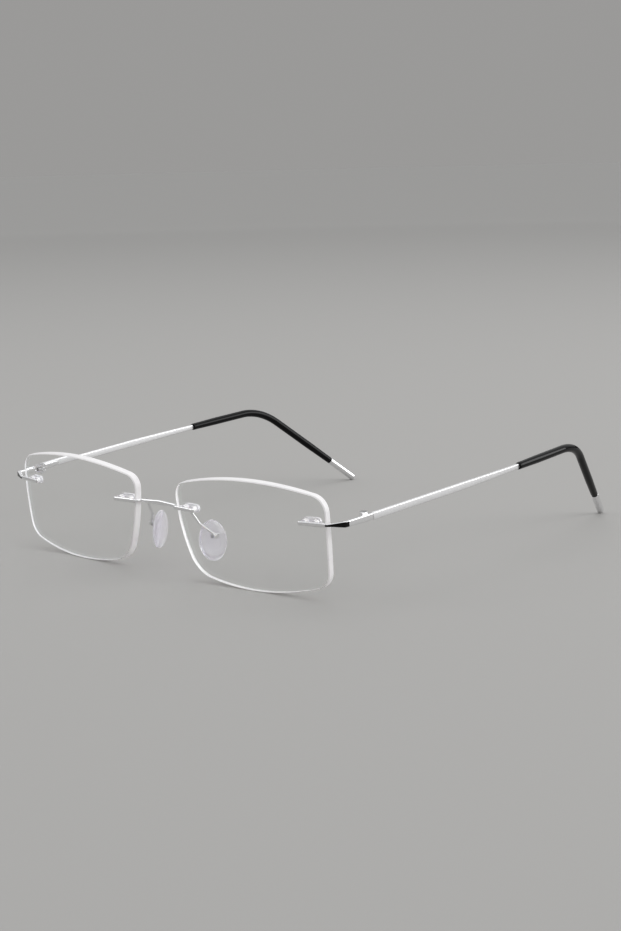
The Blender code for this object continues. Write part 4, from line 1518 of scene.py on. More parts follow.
@dataclass
class Bridge:
    """One bar from the nasal mount of one lens to that of the other, with its four posts."""

    trees: GeometryTrees
    mount: Mount
    wrap_clearance: float = 0.00035
    setback: float = 0.0018
    bow: float = 0.0004
    bow_radius: float = 0.030
    wrap_height: float = 0.00090
    middle_height: float = 0.00150
    wrap_radius: float = 0.0009
    edge_radius: float = 0.00044
    end_rim: float = 0.00030
    ring_step: float = 0.0006
    edge_points: int = 10

    def corners(self) -> list[Vector]:
        """The left half's corners: the end of the bar, the lens edge, the shoulder and the middle.

        Returns:
            The points.
        """
        thickness = self.mount.sizes.bar_thickness
        corner = self.mount.bar_point(self.mount.edge - self.wrap_clearance - thickness / 2)
        shoulder = Vector((corner.x - self.wrap_clearance, corner.y + self.setback, corner.z))
        middle = Vector((0.0, shoulder.y + self.bow, corner.z))
        return [self.mount.bar_point(self.mount.end), corner, shoulder, middle]

    def mesh(self) -> Mesh:
        """The bar with its posts.

        Returns:
            The mesh.
        """
        half = self.corners()
        other = [MIRROR @ point for point in reversed(half[:-1])]
        radii = [self.wrap_radius, self.wrap_radius, self.bow_radius, self.wrap_radius, self.wrap_radius]
        spine = Spine.filleted(half + other, radii)
        total = spine.total
        at_corner = (half[1] - half[0]).length
        at_shoulder = at_corner + (half[2] - half[1]).length
        sizes = self.mount.sizes
        heights = [(0.0, sizes.bar_height), (at_corner - self.wrap_radius, sizes.bar_height),
                   (at_corner, self.wrap_height), (at_shoulder, self.wrap_height),
                   (total / 2, self.middle_height)]
        heights += [(total - row[0], row[1]) for row in reversed(heights[:-1])]
        left_up = self.mount.up()
        ups = [(0.0, left_up), (at_corner, left_up),
               (total / 2, Vector((0.0, left_up.y, left_up.z)).normalized()),
               (total - at_corner, (MIRROR @ left_up).normalized()), (total, (MIRROR @ left_up).normalized())]
        sweep = Sweep(self.trees, spine, lambda distance: between(distance, ups))
        sweep.bar(0.0, total, lambda d: Section(sizes.bar_thickness, between(d, heights), self.edge_radius),
                  self.end_rim, self.end_rim, [row[0] for row in heights], self.ring_step)
        posts = self.mount.posts()
        return self.trees.worked(sweep.mesh(self.edge_points), Combine.UNITE, posts, mirrored(posts))


@dataclass
class Endpiece:
    """A bar on the lens, a neck, a corner whose outer face carries a black plate of painted dark reflection, and a
    side strip.
    """

    trees: GeometryTrees
    mount: Mount
    reach: float = 0.0049
    sweep_back: float = 0.0024
    side_length: float = 0.0110
    rise: float = 0.0008
    neck_height: float = 0.00080
    corner_height: float = 0.00170
    side_height: float = 0.00190
    corner_radius: float = 0.0006
    strip_thickness: float = 0.00110
    bar_edge: float = 0.00044
    edge_radius: float = 0.00030
    edge_share: float = 0.42
    end_rim: float = 0.00030
    joint_rim: float = 0.00008
    ring_step: float = 0.0007
    dark_reflection_rim: float = 0.00016
    dark_reflection_lead: float = 0.6
    dark_reflection_wrap: float = 0.0012
    dark_reflection_thickness: float = 0.00008
    dark_reflection_proud: float = 0.00002
    dark_reflection_edge: float = 0.00002
    dark_reflection_step: float = 0.0004

    def __post_init__(self) -> None:
        """Finds the corner, the joint and the spine."""
        thickness = self.mount.sizes.bar_thickness
        bar_end, neck = self.mount.bar_point(self.mount.end), self.mount.bar_point(self.mount.edge + thickness)
        edge = self.mount.bar_point(self.mount.edge)
        self.corner = Vector((edge.x + self.reach, edge.y + self.sweep_back, edge.z + self.rise / 2))
        self.joint = Vector((self.corner.x, self.corner.y + self.side_length, edge.z + self.rise))
        self.neck_run = 2.0 * thickness
        self.spine = Spine.filleted([bar_end, neck, self.corner, self.joint], [self.neck_run, self.corner_radius])
        self.at_neck = (neck - bar_end).length
        self.at_corner = self.spine.total - self.side_length

    def up(self, distance: float) -> Vector:
        """The direction across the strip."""
        up = self.mount.up()
        return between(distance, [(0.0, up), (self.at_neck, up), (self.at_corner, UP_AXIS)])

    def section(self, distance: float) -> Section:
        """The section of the strip at a distance.

        Args:
            distance: How far it is from the end of the bar.

        Returns:
            The section.
        """
        bar = self.mount.sizes
        thickness = between(distance, [(self.at_neck, bar.bar_thickness), (self.at_corner, self.strip_thickness)])
        height = between(distance, [(self.at_neck - self.neck_run, bar.bar_height),
                                    (self.at_neck, self.neck_height), (self.at_corner, self.corner_height),
                                    (self.spine.total, self.side_height)])
        edge = between(distance, [(self.at_neck, self.bar_edge), (self.at_corner, self.edge_radius)])
        return Section(thickness, height, min(edge, self.edge_share * height))

    def mesh(self) -> Mesh:
        """The strip with its posts.

        Returns:
            The mesh.
        """
        sweep = Sweep(self.trees, self.spine, self.up)
        stops = [self.at_neck - self.neck_run, self.at_neck, self.at_corner]
        sweep.bar(0.0, self.spine.total, self.section, self.end_rim, self.joint_rim, stops, self.ring_step)
        return self.trees.worked(sweep.mesh(8), Combine.UNITE, self.mount.posts())

    def dark_reflection_plate(self) -> Mesh:
        """The black plate let into the outer side of the strip, from the lens to just past the corner, as a
        painted dark reflection.

        Returns:
            The mesh.
        """
        # The plate paints the dark reflection that the polished corner would show.
        start = self.at_neck - self.dark_reflection_lead * self.mount.sizes.bar_thickness
        end = self.at_corner + self.dark_reflection_wrap

        def plate(distance: float) -> Section:
            """The plate's section, which narrows with the strip."""
            height = self.section(distance).height - 2.0 * self.dark_reflection_rim
            return Section(self.dark_reflection_thickness, height, self.dark_reflection_edge)

        def beside(distance: float) -> float:
            """How far the plate lies outside the spine."""
            return self.section(distance).thickness / 2 + self.dark_reflection_proud - self.dark_reflection_thickness / 2
        sweep = Sweep(self.trees, self.spine, self.up)
        sweep.bar(start, end, plate, self.dark_reflection_edge, self.dark_reflection_edge, [], self.dark_reflection_step, beside)
        return sweep.mesh(4)


@dataclass
class Hinge:
    """Two leaves and a screw on the inner side of a joint."""

    trees: GeometryTrees
    joint: Vector
    strip_thickness: float
    endpiece_slope: float
    temple_slope: float
    radius: float = 0.00115
    knuckle: float = 0.00080
    leaf_thickness: float = 0.00055
    leaf_length: float = 0.0058
    leaf_height: float = 0.0012
    ahead: float = 0.0012
    lift: float = -0.0001
    screw_radius: float = 0.00050
    head_radius: float = 0.00080
    head_height: float = 0.00034
    slot_width: float = 0.00025
    slot_depth: float = 0.00020
    rim: float = 0.00007
    plate_rim: float = 0.00002
    knuckle_rim: float = 0.00004
    head_rim: float = 0.00003
    screw_rim: float = 0.00008
    wrap: float = 240.0
    wrap_steps: int = 32

    def __post_init__(self) -> None:
        """Finds the axis."""
        inset = self.strip_thickness / 2 + HINGE_CLEARANCE + self.radius
        self.axis = Vector((self.joint.x - inset, self.joint.y - self.ahead, self.joint.z + self.lift))

    @property
    def top(self) -> float:
        """The height of the top of the hinge above its middle."""
        return 1.5 * self.knuckle + HINGE_CLEARANCE

    def barrel(self, direction: float) -> Outline:
        """The end view of a knuckle and its web.

        Args:
            direction: Ahead of the axis (-1) or behind it (+1).

        Returns:
            The outline.
        """
        angles = [math.radians(self.wrap * k / self.wrap_steps) for k in range(self.wrap_steps + 1)]
        points = [(self.radius * math.cos(angle), self.radius * math.sin(angle)) for angle in angles]
        web = self.radius + HINGE_CLEARANCE + self.leaf_thickness
        points += [(self.radius - self.leaf_thickness, -web), (self.radius, -web)]
        turned = [(x, -direction * y) for x, y in points]
        return turned if direction < 0 else turned[::-1]

    def leaf(self, direction: float, count: int) -> Mesh:
        """A leaf: a plate with a rounded end and one or two knuckles.

        Args:
            direction: Ahead of the axis (-1) or behind it (+1).
            count: How many knuckles it has.

        Returns:
            The leaf with its bore and the seat of the screw's head.
        """
        start, half = self.radius + HINGE_CLEARANCE, self.leaf_height / 2
        outline = [(start, half), (start, -half)]
        outline += [(start + self.leaf_length - half + half * math.sin(math.radians(angle)),
                     -half * math.cos(math.radians(angle))) for angle in range(0, 181, 9)]
        slope = self.temple_slope if direction > 0 else -self.endpiece_slope
        outline = [(x, z - self.lift + slope * (x - direction * self.ahead)) for x, z in outline]
        upright = Matrix(((0.0, 0.0, 1.0), (direction, 0.0, 0.0), (0.0, 1.0, 0.0))).to_4x4()
        place = Matrix.Translation(self.axis)
        plate = soft_prism(growing(outline), self.radius - self.leaf_thickness, self.radius, place @ upright,
                           self.rim, self.plate_rim)
        pitch = 2.0 * (self.knuckle + HINGE_CLEARANCE)
        one = soft_prism(growing(self.barrel(direction)), -self.knuckle / 2, self.knuckle / 2,
                         turn(90.0, "Y"), self.knuckle_rim, self.knuckle_rim)
        stack = self.trees.in_row(one, count, pitch)
        stack.transform(place @ turn(-90.0, "Y"))
        bore = soft_prism(disc(self.screw_radius + BORE_CLEARANCE), -3 * self.knuckle, 3 * self.knuckle, place,
                          0.0, 0.0)
        seat = soft_prism(disc(self.head_radius + BORE_CLEARANCE), self.top - self.head_height - BORE_CLEARANCE,
                          3 * self.knuckle, place, 0.0, 0.0)
        return self.trees.worked(self.trees.worked(plate, Combine.UNITE, stack), Combine.CUT, bore, seat)

    def screw(self) -> Mesh:
        """A slotted screw down the axis, with its head let into the top knuckle.

        Returns:
            The mesh.
        """
        place = Matrix.Translation(self.axis)
        shaft = soft_prism(disc(self.screw_radius), -self.top, self.top - self.head_height / 2, place,
                           self.screw_rim, 0.0)
        head = soft_prism(disc(self.head_radius), self.top - self.head_height, self.top, place,
                          self.head_rim, self.screw_rim)
        slot = soft_prism(box_outline(-2 * self.head_radius, 2 * self.head_radius, -self.slot_width / 2,
                                      self.slot_width / 2), self.top - self.slot_depth,
                          self.top + self.head_height, place, 0.0, 0.0)
        return self.trees.worked(self.trees.worked(shaft, Combine.UNITE, head), Combine.CUT, slot)


@dataclass
class Temple:
    """A tapering satin strip, its round core, the black sleeve and the metal cap."""

    trees: GeometryTrees
    joint: Vector
    length: float = 0.1412
    bend_at: float = 0.0957
    rise: float = 3.6
    converge: float = 0.3
    bow: float = 0.0019
    bow_share: float = 0.6
    bow_radius: float = 0.70
    toe_in: float = 21.2
    bend_radius: float = 0.020
    strip: Section = Section(0.00110, 0.00205, 0.00030)
    thin_strip: Section = Section(0.00100, 0.00150, 0.00030)
    taper_start: float = 0.038
    taper_end: float = 0.062
    core_radius: float = 0.00050
    sleeve_length: float = 0.0643
    sleeve_radius: float = 0.00122
    sleeve_end_radius: float = 0.00108
    swell_length: float = 0.010
    softening: float = 0.0003
    cap_length: float = 0.0117
    cap_radius: float = 0.00116
    cap_rounding: float = 0.00070
    core_depth: float = 0.0060
    settling_rounds: int = 8
    bend_steps: int = 28
    strip_rim: float = 0.00008
    core_rim: float = 0.0001
    core_inset: float = 0.00004
    sleeve_lip: float = 0.00001
    cap_rim: float = 0.0001
    cap_steps: int = 8

    def __post_init__(self) -> None:
        """Finds the centre line, whose tip rests on the table."""
        start = self.joint + Vector((0.0, BUTT_GAP, 0.0))
        rise, converge = math.radians(self.rise), math.radians(self.converge)
        ahead = Vector((-math.sin(converge) * math.cos(rise), math.cos(converge) * math.cos(rise),
                        math.sin(rise)))
        bend = start + ahead * self.bend_at
        drop_length = self.length - self.bend_at
        drop = 0.0
        for _ in range(self.settling_rounds):
            rest = ((self.cap_radius - self.cap_rounding) * math.cos(drop)
                    + self.cap_rounding * (1.0 - math.sin(drop)))
            drop = math.asin((bend.z - rest) / drop_length)
        toe = math.radians(self.toe_in)
        down = Vector((-math.sin(toe) * math.cos(drop), math.cos(toe) * math.cos(drop), -math.sin(drop)))
        middle = start.lerp(bend, self.bow_share) + ACROSS_AXIS * self.bow
        self.spine = Spine.filleted([start, middle, bend, bend + down * drop_length],
                                    [self.bow_radius, self.bend_radius], self.bend_steps)
        self.cap_start = self.spine.total - self.cap_length
        self.sleeve_start = self.cap_start - SEAT_GAP - self.sleeve_length

    def sweep(self) -> Sweep:
        """A sweep along the temple."""
        return Sweep(self.trees, self.spine, lambda distance: UP_AXIS)

    def strip_mesh(self) -> Mesh:
        """The strip, drawn out to a round core that runs through the sleeve into the cap.

        Returns:
            The mesh.
        """
        shoulder, end = self.sleeve_start - SEAT_GAP, self.cap_start + self.core_depth
        sweep = self.sweep()

        def section(distance: float) -> Section:
            """The strip's section at a distance."""
            share = between(distance, [(self.taper_start, 0.0), (self.taper_end, 1.0)])
            return self.strip.blend(self.thin_strip, share)
        for back, inset in [(0.0, POLE), *round_steps(self.strip_rim)]:
            sweep.ring(back, section(back).inset(inset))
        for distance in self.spine.stops(self.strip_rim, shoulder - self.core_rim,
                                         (self.taper_start, self.taper_end))[1:]:
            sweep.ring(distance, section(distance))
        for back, inset in round_steps(self.core_rim)[-2::-1]:
            sweep.ring(shoulder - back, section(shoulder).inset(inset))
        core = Section.round(self.core_radius)
        for distance in self.spine.stops(shoulder + self.core_inset, end - self.core_rim):
            sweep.ring(distance, core)
        for back, inset in [(0.0, POLE), *round_steps(self.core_rim)][::-1]:
            sweep.ring(end - back, core.inset(inset))
        return sweep.mesh(8)

    def sleeve_mesh(self) -> Mesh:
        """A tube over the core, with softened ends.

        Returns:
            The mesh.
        """
        start, end = self.sleeve_start, self.cap_start - SEAT_GAP
        soft, radius = self.softening, self.sleeve_end_radius
        table = [(start, radius - soft / 2), (start + soft * 0.3, radius - soft / 5), (start + soft, radius),
                 (start + self.swell_length, self.sleeve_radius), (end - self.swell_length, self.sleeve_radius),
                 (end - soft / 3, radius + self.sleeve_lip), (end, radius - soft / 4)]
        stops = self.spine.stops(start, end, [row[0] for row in table])
        bore = Section.round(self.core_radius + 2 * BORE_CLEARANCE)
        sweep = self.sweep()
        for distance in stops:
            sweep.ring(distance, Section.round(between(distance, table)))
        for distance in reversed(stops):
            sweep.ring(distance, bore)
        sweep.rings.append(sweep.rings[0])
        return sweep.mesh(10)

    def cap_mesh(self) -> Mesh:
        """A metal cap with a rounded end and a blind bore for the core.

        Returns:
            The mesh.
        """
        start, end = self.cap_start, self.spine.total
        bore_end = start + self.core_depth + 2 * BORE_CLEARANCE
        bore, body = Section.round(self.core_radius + 2 * BORE_CLEARANCE), Section.round(self.cap_radius)
        sweep = self.sweep()
        sweep.ring(bore_end, bore.inset(POLE))
        sweep.ring(bore_end, bore)
        sweep.ring(start, bore)
        for back, inset in round_steps(self.cap_rim):
            sweep.ring(start + back, body.inset(inset))
        for distance in self.spine.stops(start + 2 * self.cap_rim, end - self.cap_rounding):
            sweep.ring(distance, body)
        for back, inset in [(0.0, POLE), *round_steps(self.cap_rounding, self.cap_steps)][::-1]:
            sweep.ring(end - back, body.inset(inset))
        return sweep.mesh(12)


@dataclass
class NosePad:
    """A soft pad on its clear insert, and the arm that holds it."""

    trees: GeometryTrees
    shoulder: Vector
    bar_thickness: float
    length: float = 0.0115
    width: float = 0.0084
    front_bulge: float = 0.0010
    bearing_bulge: float = 0.0014
    fullness: float = 2.3
    spread: float = 0.0232
    setback: float = 0.0121
    drop: float = 0.0108
    splay: float = 19.0
    flare: float = 7.0
    pitch: float = 4.0
    insert_length: float = 0.0058
    insert_width: float = 0.0040
    insert_thickness: float = 0.00050
    lug_thickness: float = 0.00070
    lug_radius: float = 0.00065
    pivot_reach: float = 0.0019
    pivot_raise: float = 0.0015
    cheek: float = 0.00040
    back_wall: float = 0.00045
    pad_gap: float = 0.00035
    screw_radius: float = 0.00030
    head_radius: float = 0.00055
    head_height: float = 0.00030
    wire_radius: float = 0.00042
    root: float = 0.0064
    root_drop: float = 0.00020
    knee_drop: float = 0.00035
    knee_out: float = 0.0027
    run_back: float = 0.0031
    wire_bend: float = 0.0015
    elbow_out: float = 0.00125
    elbow_back: float = 0.0031
    elbow_drop: float = 0.0053
    insert_rim: float = 0.00010
    lug_steps: int = 20
    pad_sides: int = 72
    pad_rings: int = 26
    least_width: float = 0.01
    slot_width: float = 0.00018
    slot_depth: float = 0.4
    shaft_rim: float = 0.00006
    head_rims: Pair = (0.00012, 0.00002)
    box_corner: float = 0.00018
    box_rim: float = 0.00014
    wire_rims: Pair = (0.00036, 0.00010)
    wire_step: float = 0.0008

    def __post_init__(self) -> None:
        """Finds the pad's frame and the frame of its pivot."""
        centre = Vector((self.spread / 2, self.setback, self.shoulder.z - self.drop))
        lean = turn(self.pitch, "X") @ turn(-self.flare, "Y") @ turn(-self.splay, "Z")
        self.place = Matrix.Translation(centre) @ lean
        self.pivot = self.place @ Matrix.Translation((self.pivot_reach, 0.0, self.pivot_raise))
        self.across = self.pivot @ turn(-90.0, "X")
        self.box_depth = self.lug_radius + HINGE_CLEARANCE + self.back_wall
        self.half_width = self.lug_thickness / 2 + HINGE_CLEARANCE + self.cheek

    def insert_plate(self) -> Mesh:
        """The plate of the insert.

        Returns:
            The mesh.
        """
        outline = stadium(self.insert_length - self.insert_width, self.insert_width / 2)
        half = self.insert_thickness / 2
        return soft_prism(outline, -half, half, self.place @ turn(-90.0, "Y"), self.insert_rim, self.insert_rim)

    def pad_mesh(self) -> Mesh:
        """A soft oval with a domed bearing face, moulded round the insert.

        Returns:
            The mesh.
        """
        sides, rings = self.pad_sides, self.pad_rings
        rows = []
        for k in range(rings + 1):
            angle = math.pi * k / rings - math.pi / 2
            height = math.copysign(abs(math.sin(angle)) ** (2.0 / self.fullness), math.sin(angle))
            width = max(self.least_width, abs(math.cos(angle)) ** (2.0 / self.fullness))
            depth = height * (self.front_bulge if height > 0.0 else self.bearing_bulge)
            rows.append([self.place @ Vector((depth, width * self.width / 2 * math.sin(2 * math.pi * n / sides),
                                              width * self.length / 2 * math.cos(2 * math.pi * n / sides)))
                         for n in range(sides)])
        return loft(rows)

    def insert_mesh(self) -> Mesh:
        """A clear plate inside the pad with a lug that stands out of it, drilled for the screw.

        Returns:
            The mesh.
        """
        radius = self.lug_radius
        angles = [math.radians(180.0 * k / self.lug_steps) for k in range(self.lug_steps + 1)]
        arc = [(radius * math.sin(angle), radius * math.cos(angle)) for angle in angles]
        outline = [*arc, (-self.pivot_reach, -radius), (-self.pivot_reach, radius)][::-1]
        lug = soft_prism(growing(outline), -self.lug_thickness / 2, self.lug_thickness / 2, self.across)
        hole = soft_prism(disc(self.screw_radius + BORE_CLEARANCE), -self.lug_thickness, self.lug_thickness,
                          self.across, 0.0, 0.0)
        body = self.trees.worked(self.insert_plate(), Combine.UNITE, lug)
        return self.trees.worked(body, Combine.CUT, hole)

    def screw_mesh(self) -> Mesh:
        """A small slotted screw through the box and the lug, with its head on the front cheek.

        Returns:
            The mesh.
        """
        seat = self.half_width + BORE_CLEARANCE
        shaft = soft_prism(disc(self.screw_radius), -seat - self.head_height / 2, self.half_width, self.across,
                           0.0, self.shaft_rim)
        head = soft_prism(disc(self.head_radius), -seat - self.head_height, -seat, self.across, *self.head_rims)
        half, reach = self.slot_width / 2, 2 * self.head_radius
        slot = soft_prism(box_outline(-reach, reach, -half, half), -seat - 2 * self.head_height,
                          -seat - (1 - self.slot_depth) * self.head_height, self.across, 0.0, 0.0)
        return self.trees.worked(self.trees.worked(shaft, Combine.UNITE, head), Combine.CUT, slot)

    def arm_mesh(self) -> Mesh:
        """A bent wire from the back of the bridge to a box that is open towards the pad.

        Returns:
            The mesh.
        """
        slant = self.wire_radius * self.knee_out / math.hypot(self.knee_out, self.run_back)
        root = Vector((self.root, self.shoulder.y + self.bar_thickness / 2 + SEAT_GAP + slant,
                       self.shoulder.z - self.root_drop))
        knee = root + Vector((self.knee_out, self.run_back, -self.knee_drop))
        elbow = knee + Vector((self.elbow_out, self.elbow_back, self.knee_drop - self.elbow_drop))
        box_back = self.pivot @ Vector((self.box_depth - self.back_wall / 2, 0.0, 0.0))
        spine = Spine.filleted([root, knee, elbow, box_back], [self.wire_bend, self.wire_bend])
        sweep = Sweep(self.trees, spine, lambda distance: ACROSS_AXIS)
        sweep.bar(0.0, spine.total, lambda distance: Section.round(self.wire_radius), *self.wire_rims, (),
                  self.wire_step)
        mouth = self.front_bulge + self.pad_gap - self.pivot_reach
        inner, floor = self.lug_thickness / 2 + HINGE_CLEARANCE, self.lug_radius + HINGE_CLEARANCE
        outer = self.half_width
        box = soft_prism(box_outline(mouth, self.box_depth, -outer, outer, self.box_corner), -self.lug_radius,
                         self.lug_radius, self.pivot, self.box_rim, self.box_rim)
        slot = soft_prism(box_outline(2 * mouth, floor, -inner, inner), -2 * self.lug_radius,
                          2 * self.lug_radius, self.pivot, 0.0, 0.0)
        hole = soft_prism(disc(self.screw_radius + BORE_CLEARANCE), -2 * outer, 2 * outer, self.across, 0.0, 0.0)
        body = self.trees.worked(box, Combine.UNITE, sweep.mesh(8))
        return self.trees.worked(body, Combine.CUT, slot, hole)


# Assembly


class Bench:
    """Finishes pieces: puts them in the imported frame, dresses them and hands them to the frame."""

    def __init__(self, effects: SurfaceEffects) -> None:
        """Makes every material once."""
        self.materials = {finish: finish.value.make(effects) for finish in Finish}
        self.shift = Matrix.Identity(4)

    def set_origin(self, known: Vector, packed: Vector) -> None:
        """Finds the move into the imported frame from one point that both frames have."""
        self.shift = Matrix.Translation((0.0, packed.y - known.y, 0.0))

    def piece(self, name: str, mesh: Mesh, body: str, slot: Slot, replaces: str | None,
              sharp_degrees: float = 30.0) -> Object:
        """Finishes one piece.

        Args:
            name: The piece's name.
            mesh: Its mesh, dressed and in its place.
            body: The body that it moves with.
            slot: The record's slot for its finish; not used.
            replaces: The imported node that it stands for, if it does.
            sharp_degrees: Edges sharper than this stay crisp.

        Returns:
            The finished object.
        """
        mesh.transform(self.shift)
        mesh.name = name
        mesh.shade_smooth()
        mesh.set_sharp_from_angle(angle=math.radians(sharp_degrees))
        piece = bpy.data.objects.new(name, mesh)
        bpy.context.collection.objects.link(piece)
        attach(piece, body)
        if replaces:
            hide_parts(replaces)
        mesh.calc_loop_triangles()
        LOG.info("%s: %d triangles on %s", name, len(mesh.loop_triangles), body)
        return piece

    def dress(self, mesh: Mesh, finish: Finish) -> Mesh:
        """Gives a mesh one finish all over.

        Args:
            mesh: The mesh.
            finish: The finish.

        Returns:
            The same mesh.
        """
        mesh.materials.clear()
        mesh.materials.append(self.materials[finish])
        for face in mesh.polygons:
            face.material_index = 0
        return mesh

    def pair(self, name: str, mesh: Mesh, finish: Finish | None, slot: Slot, body: Body,
             node: bool = True, sharp_degrees: float = 30.0) -> None:
        """Finishes the same piece on the left and, mirrored, on the right.

        Args:
            name: The pieces' name without the side.
            mesh: The left piece.
            finish: The finish, or None where the mesh is dressed.
            slot: The record's slot for the finish.
            body: What each piece moves with.
            node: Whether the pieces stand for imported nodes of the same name.
            sharp_degrees: Edges sharper than this stay crisp.
        """
        if finish:
            self.dress(mesh, finish)
        for hand, shape in ((Hand.RIGHT, mirrored(mesh)), (Hand.LEFT, mesh)):
            label = f"{hand.value}_{name}"
            self.piece(f"{label}_fine" if node else label, shape, body.on(hand), slot,
                       label if node else None, sharp_degrees)


class Glasses:
    """The whole pair of glasses."""

    def __init__(self, frame: Mapping[str, object]) -> None:
        """Works out every sub-assembly from the lens on.
        """
        self.trees = GeometryTrees()
        self.bench = Bench(SurfaceEffects())
        self.lens = LensShape()
        self.nasal = Mount(self.trees, self.lens, height=0.0052, direction=-1.0, first_post=0.0028, pitch=0.0035)
        self.temporal = Mount(self.trees, self.lens, height=0.0058, direction=1.0, first_post=0.0037, pitch=0.0031)
        self.bridge = Bridge(self.trees, self.nasal)
        self.endpiece = Endpiece(self.trees, self.temporal)
        self.temple = Temple(self.trees, self.endpiece.joint)
        self.hinge = Hinge(self.trees, self.endpiece.joint, self.endpiece.strip_thickness,
                           self.endpiece.rise / 2 / self.endpiece.side_length,
                           math.tan(math.radians(self.temple.rise)))
        self.pad = NosePad(self.trees, self.bridge.corners()[2], self.nasal.sizes.bar_thickness)
        joints = {joint["name"]: joint for joint in frame["joints"]}
        self.bench.set_origin(self.hinge.axis, Vector(joints["left_temple_fold"]["pos_m"]))

    def build_front(self) -> None:
        """The lenses, their bushings, the bridge and the endpieces."""
        blank = self.lens.blank()
        blank.transform(self.lens.place())
        lens = self.trees.worked(blank, Combine.CUT, self.nasal.holes(), self.temporal.holes())
        materials = self.bench.materials
        self.lens.dress(lens, materials[Finish.LENS], materials[Finish.EDGE])
        self.bench.pair("lens", lens, None, Slot.LENS, Body.FRONT)
        self.bench.pair("nasal_bushing", self.nasal.bushing(), Finish.BUSHING, Slot.BUSHING, Body.FRONT)
        self.bench.pair("temporal_bushing", self.temporal.bushing(), Finish.BUSHING, Slot.BUSHING, Body.FRONT)
        bridge = self.bench.dress(self.bridge.mesh(), Finish.POLISHED)
        self.bench.piece("bridge_fine", bridge, Body.FRONT.value, Slot.POLISHED, "bridge")
        self.bench.pair("endpiece", self.endpiece.mesh(), Finish.POLISHED, Slot.POLISHED, Body.FRONT)
        # Black corner plates: painted dark reflection on the polished endpieces.
        self.bench.pair("endpiece_enamel", self.endpiece.dark_reflection_plate(), Finish.PAINTED_DARK_REFLECTION, Slot.SLEEVE, Body.FRONT, False)

    def build_hinges(self) -> None:
        """The leaves and the screws of both hinges."""
        self.bench.pair("front_leaf", self.hinge.leaf(-1.0, 2), Finish.POLISHED, Slot.POLISHED, Body.FRONT)
        self.bench.pair("temple_leaf", self.hinge.leaf(1.0, 1), Finish.POLISHED, Slot.POLISHED, Body.TEMPLE)
        self.bench.pair("hinge_screw", self.hinge.screw(), Finish.SCREW, Slot.SCREW, Body.FRONT)

    def build_temples(self) -> None:
        """The strips, the sleeves and the caps."""
        self.bench.pair("temple", self.temple.strip_mesh(), Finish.SATIN, Slot.SATIN, Body.TEMPLE)
        self.bench.pair("tip_sleeve", self.temple.sleeve_mesh(), Finish.SLEEVE, Slot.SLEEVE, Body.TEMPLE)
        self.bench.pair("tip_cap", self.temple.cap_mesh(), Finish.POLISHED, Slot.POLISHED, Body.TEMPLE)

    def build_pads(self) -> None:
        """The pads, their inserts, arms and screws."""
        self.bench.pair("nose_pad", self.pad.pad_mesh(), Finish.PAD, Slot.PAD, Body.PAD)
        self.bench.pair("pad_insert", self.pad.insert_mesh(), Finish.INSERT, Slot.BUSHING, Body.PAD)
        self.bench.pair("pad_arm", self.pad.arm_mesh(), Finish.POLISHED, Slot.POLISHED, Body.FRONT)
        self.bench.pair("pad_screw", self.pad.screw_mesh(), Finish.SCREW, Slot.SCREW, Body.FRONT)


# Studio


@dataclass(frozen=True)
class Softbox:
    """A rectangular lamp that looks at a point."""

    name: str
    position: Vector
    aim: Vector
    width: float
    height: float
    watts: float

    def place(self) -> None:
        """Hangs the lamp."""
        lamp = bpy.data.lights.new(self.name, "AREA")
        lamp.shape = "RECTANGLE"
        lamp.size, lamp.size_y, lamp.energy = self.width, self.height, self.watts
        holder = bpy.data.objects.new(self.name, lamp)
        holder.location = self.position
        holder.rotation_euler = (self.aim - self.position).to_track_quat("-Z", "Y").to_euler()
        bpy.context.collection.objects.link(holder)


@dataclass(frozen=True)
class CameraStand:
    """The camera at the photograph's angle."""

    azimuth: float = 0.73511
    elevation: float = 0.17372
    roll: float = -0.02417
    distance: float = 0.54482
    target: tuple[float, float, float] = (0.022675, -0.032151, 0.027870)
    lens: float = 73.235
    sensor: float = 36.0
    clip_start: float = 0.01

    def place(self) -> None:
        """Puts the camera up and makes it the scene's."""
        camera = bpy.data.cameras.new("camera")
        camera.lens, camera.sensor_width, camera.clip_start = self.lens, self.sensor, self.clip_start
        across = Vector((math.cos(self.azimuth), math.sin(self.azimuth), 0.0))
        back = Vector((math.sin(self.azimuth) * math.cos(self.elevation),
                       -math.cos(self.azimuth) * math.cos(self.elevation), math.sin(self.elevation)))
        upright = back.cross(across)
        right = across * math.cos(self.roll) + upright * math.sin(self.roll)
        up = upright * math.cos(self.roll) - across * math.sin(self.roll)
        holder = bpy.data.objects.new("camera", camera)
        turned = Matrix((right, up, back)).transposed().to_4x4()
        holder.matrix_world = Matrix.Translation(Vector(self.target) + back * self.distance) @ turned
        bpy.context.collection.objects.link(holder)
        bpy.context.scene.camera = holder


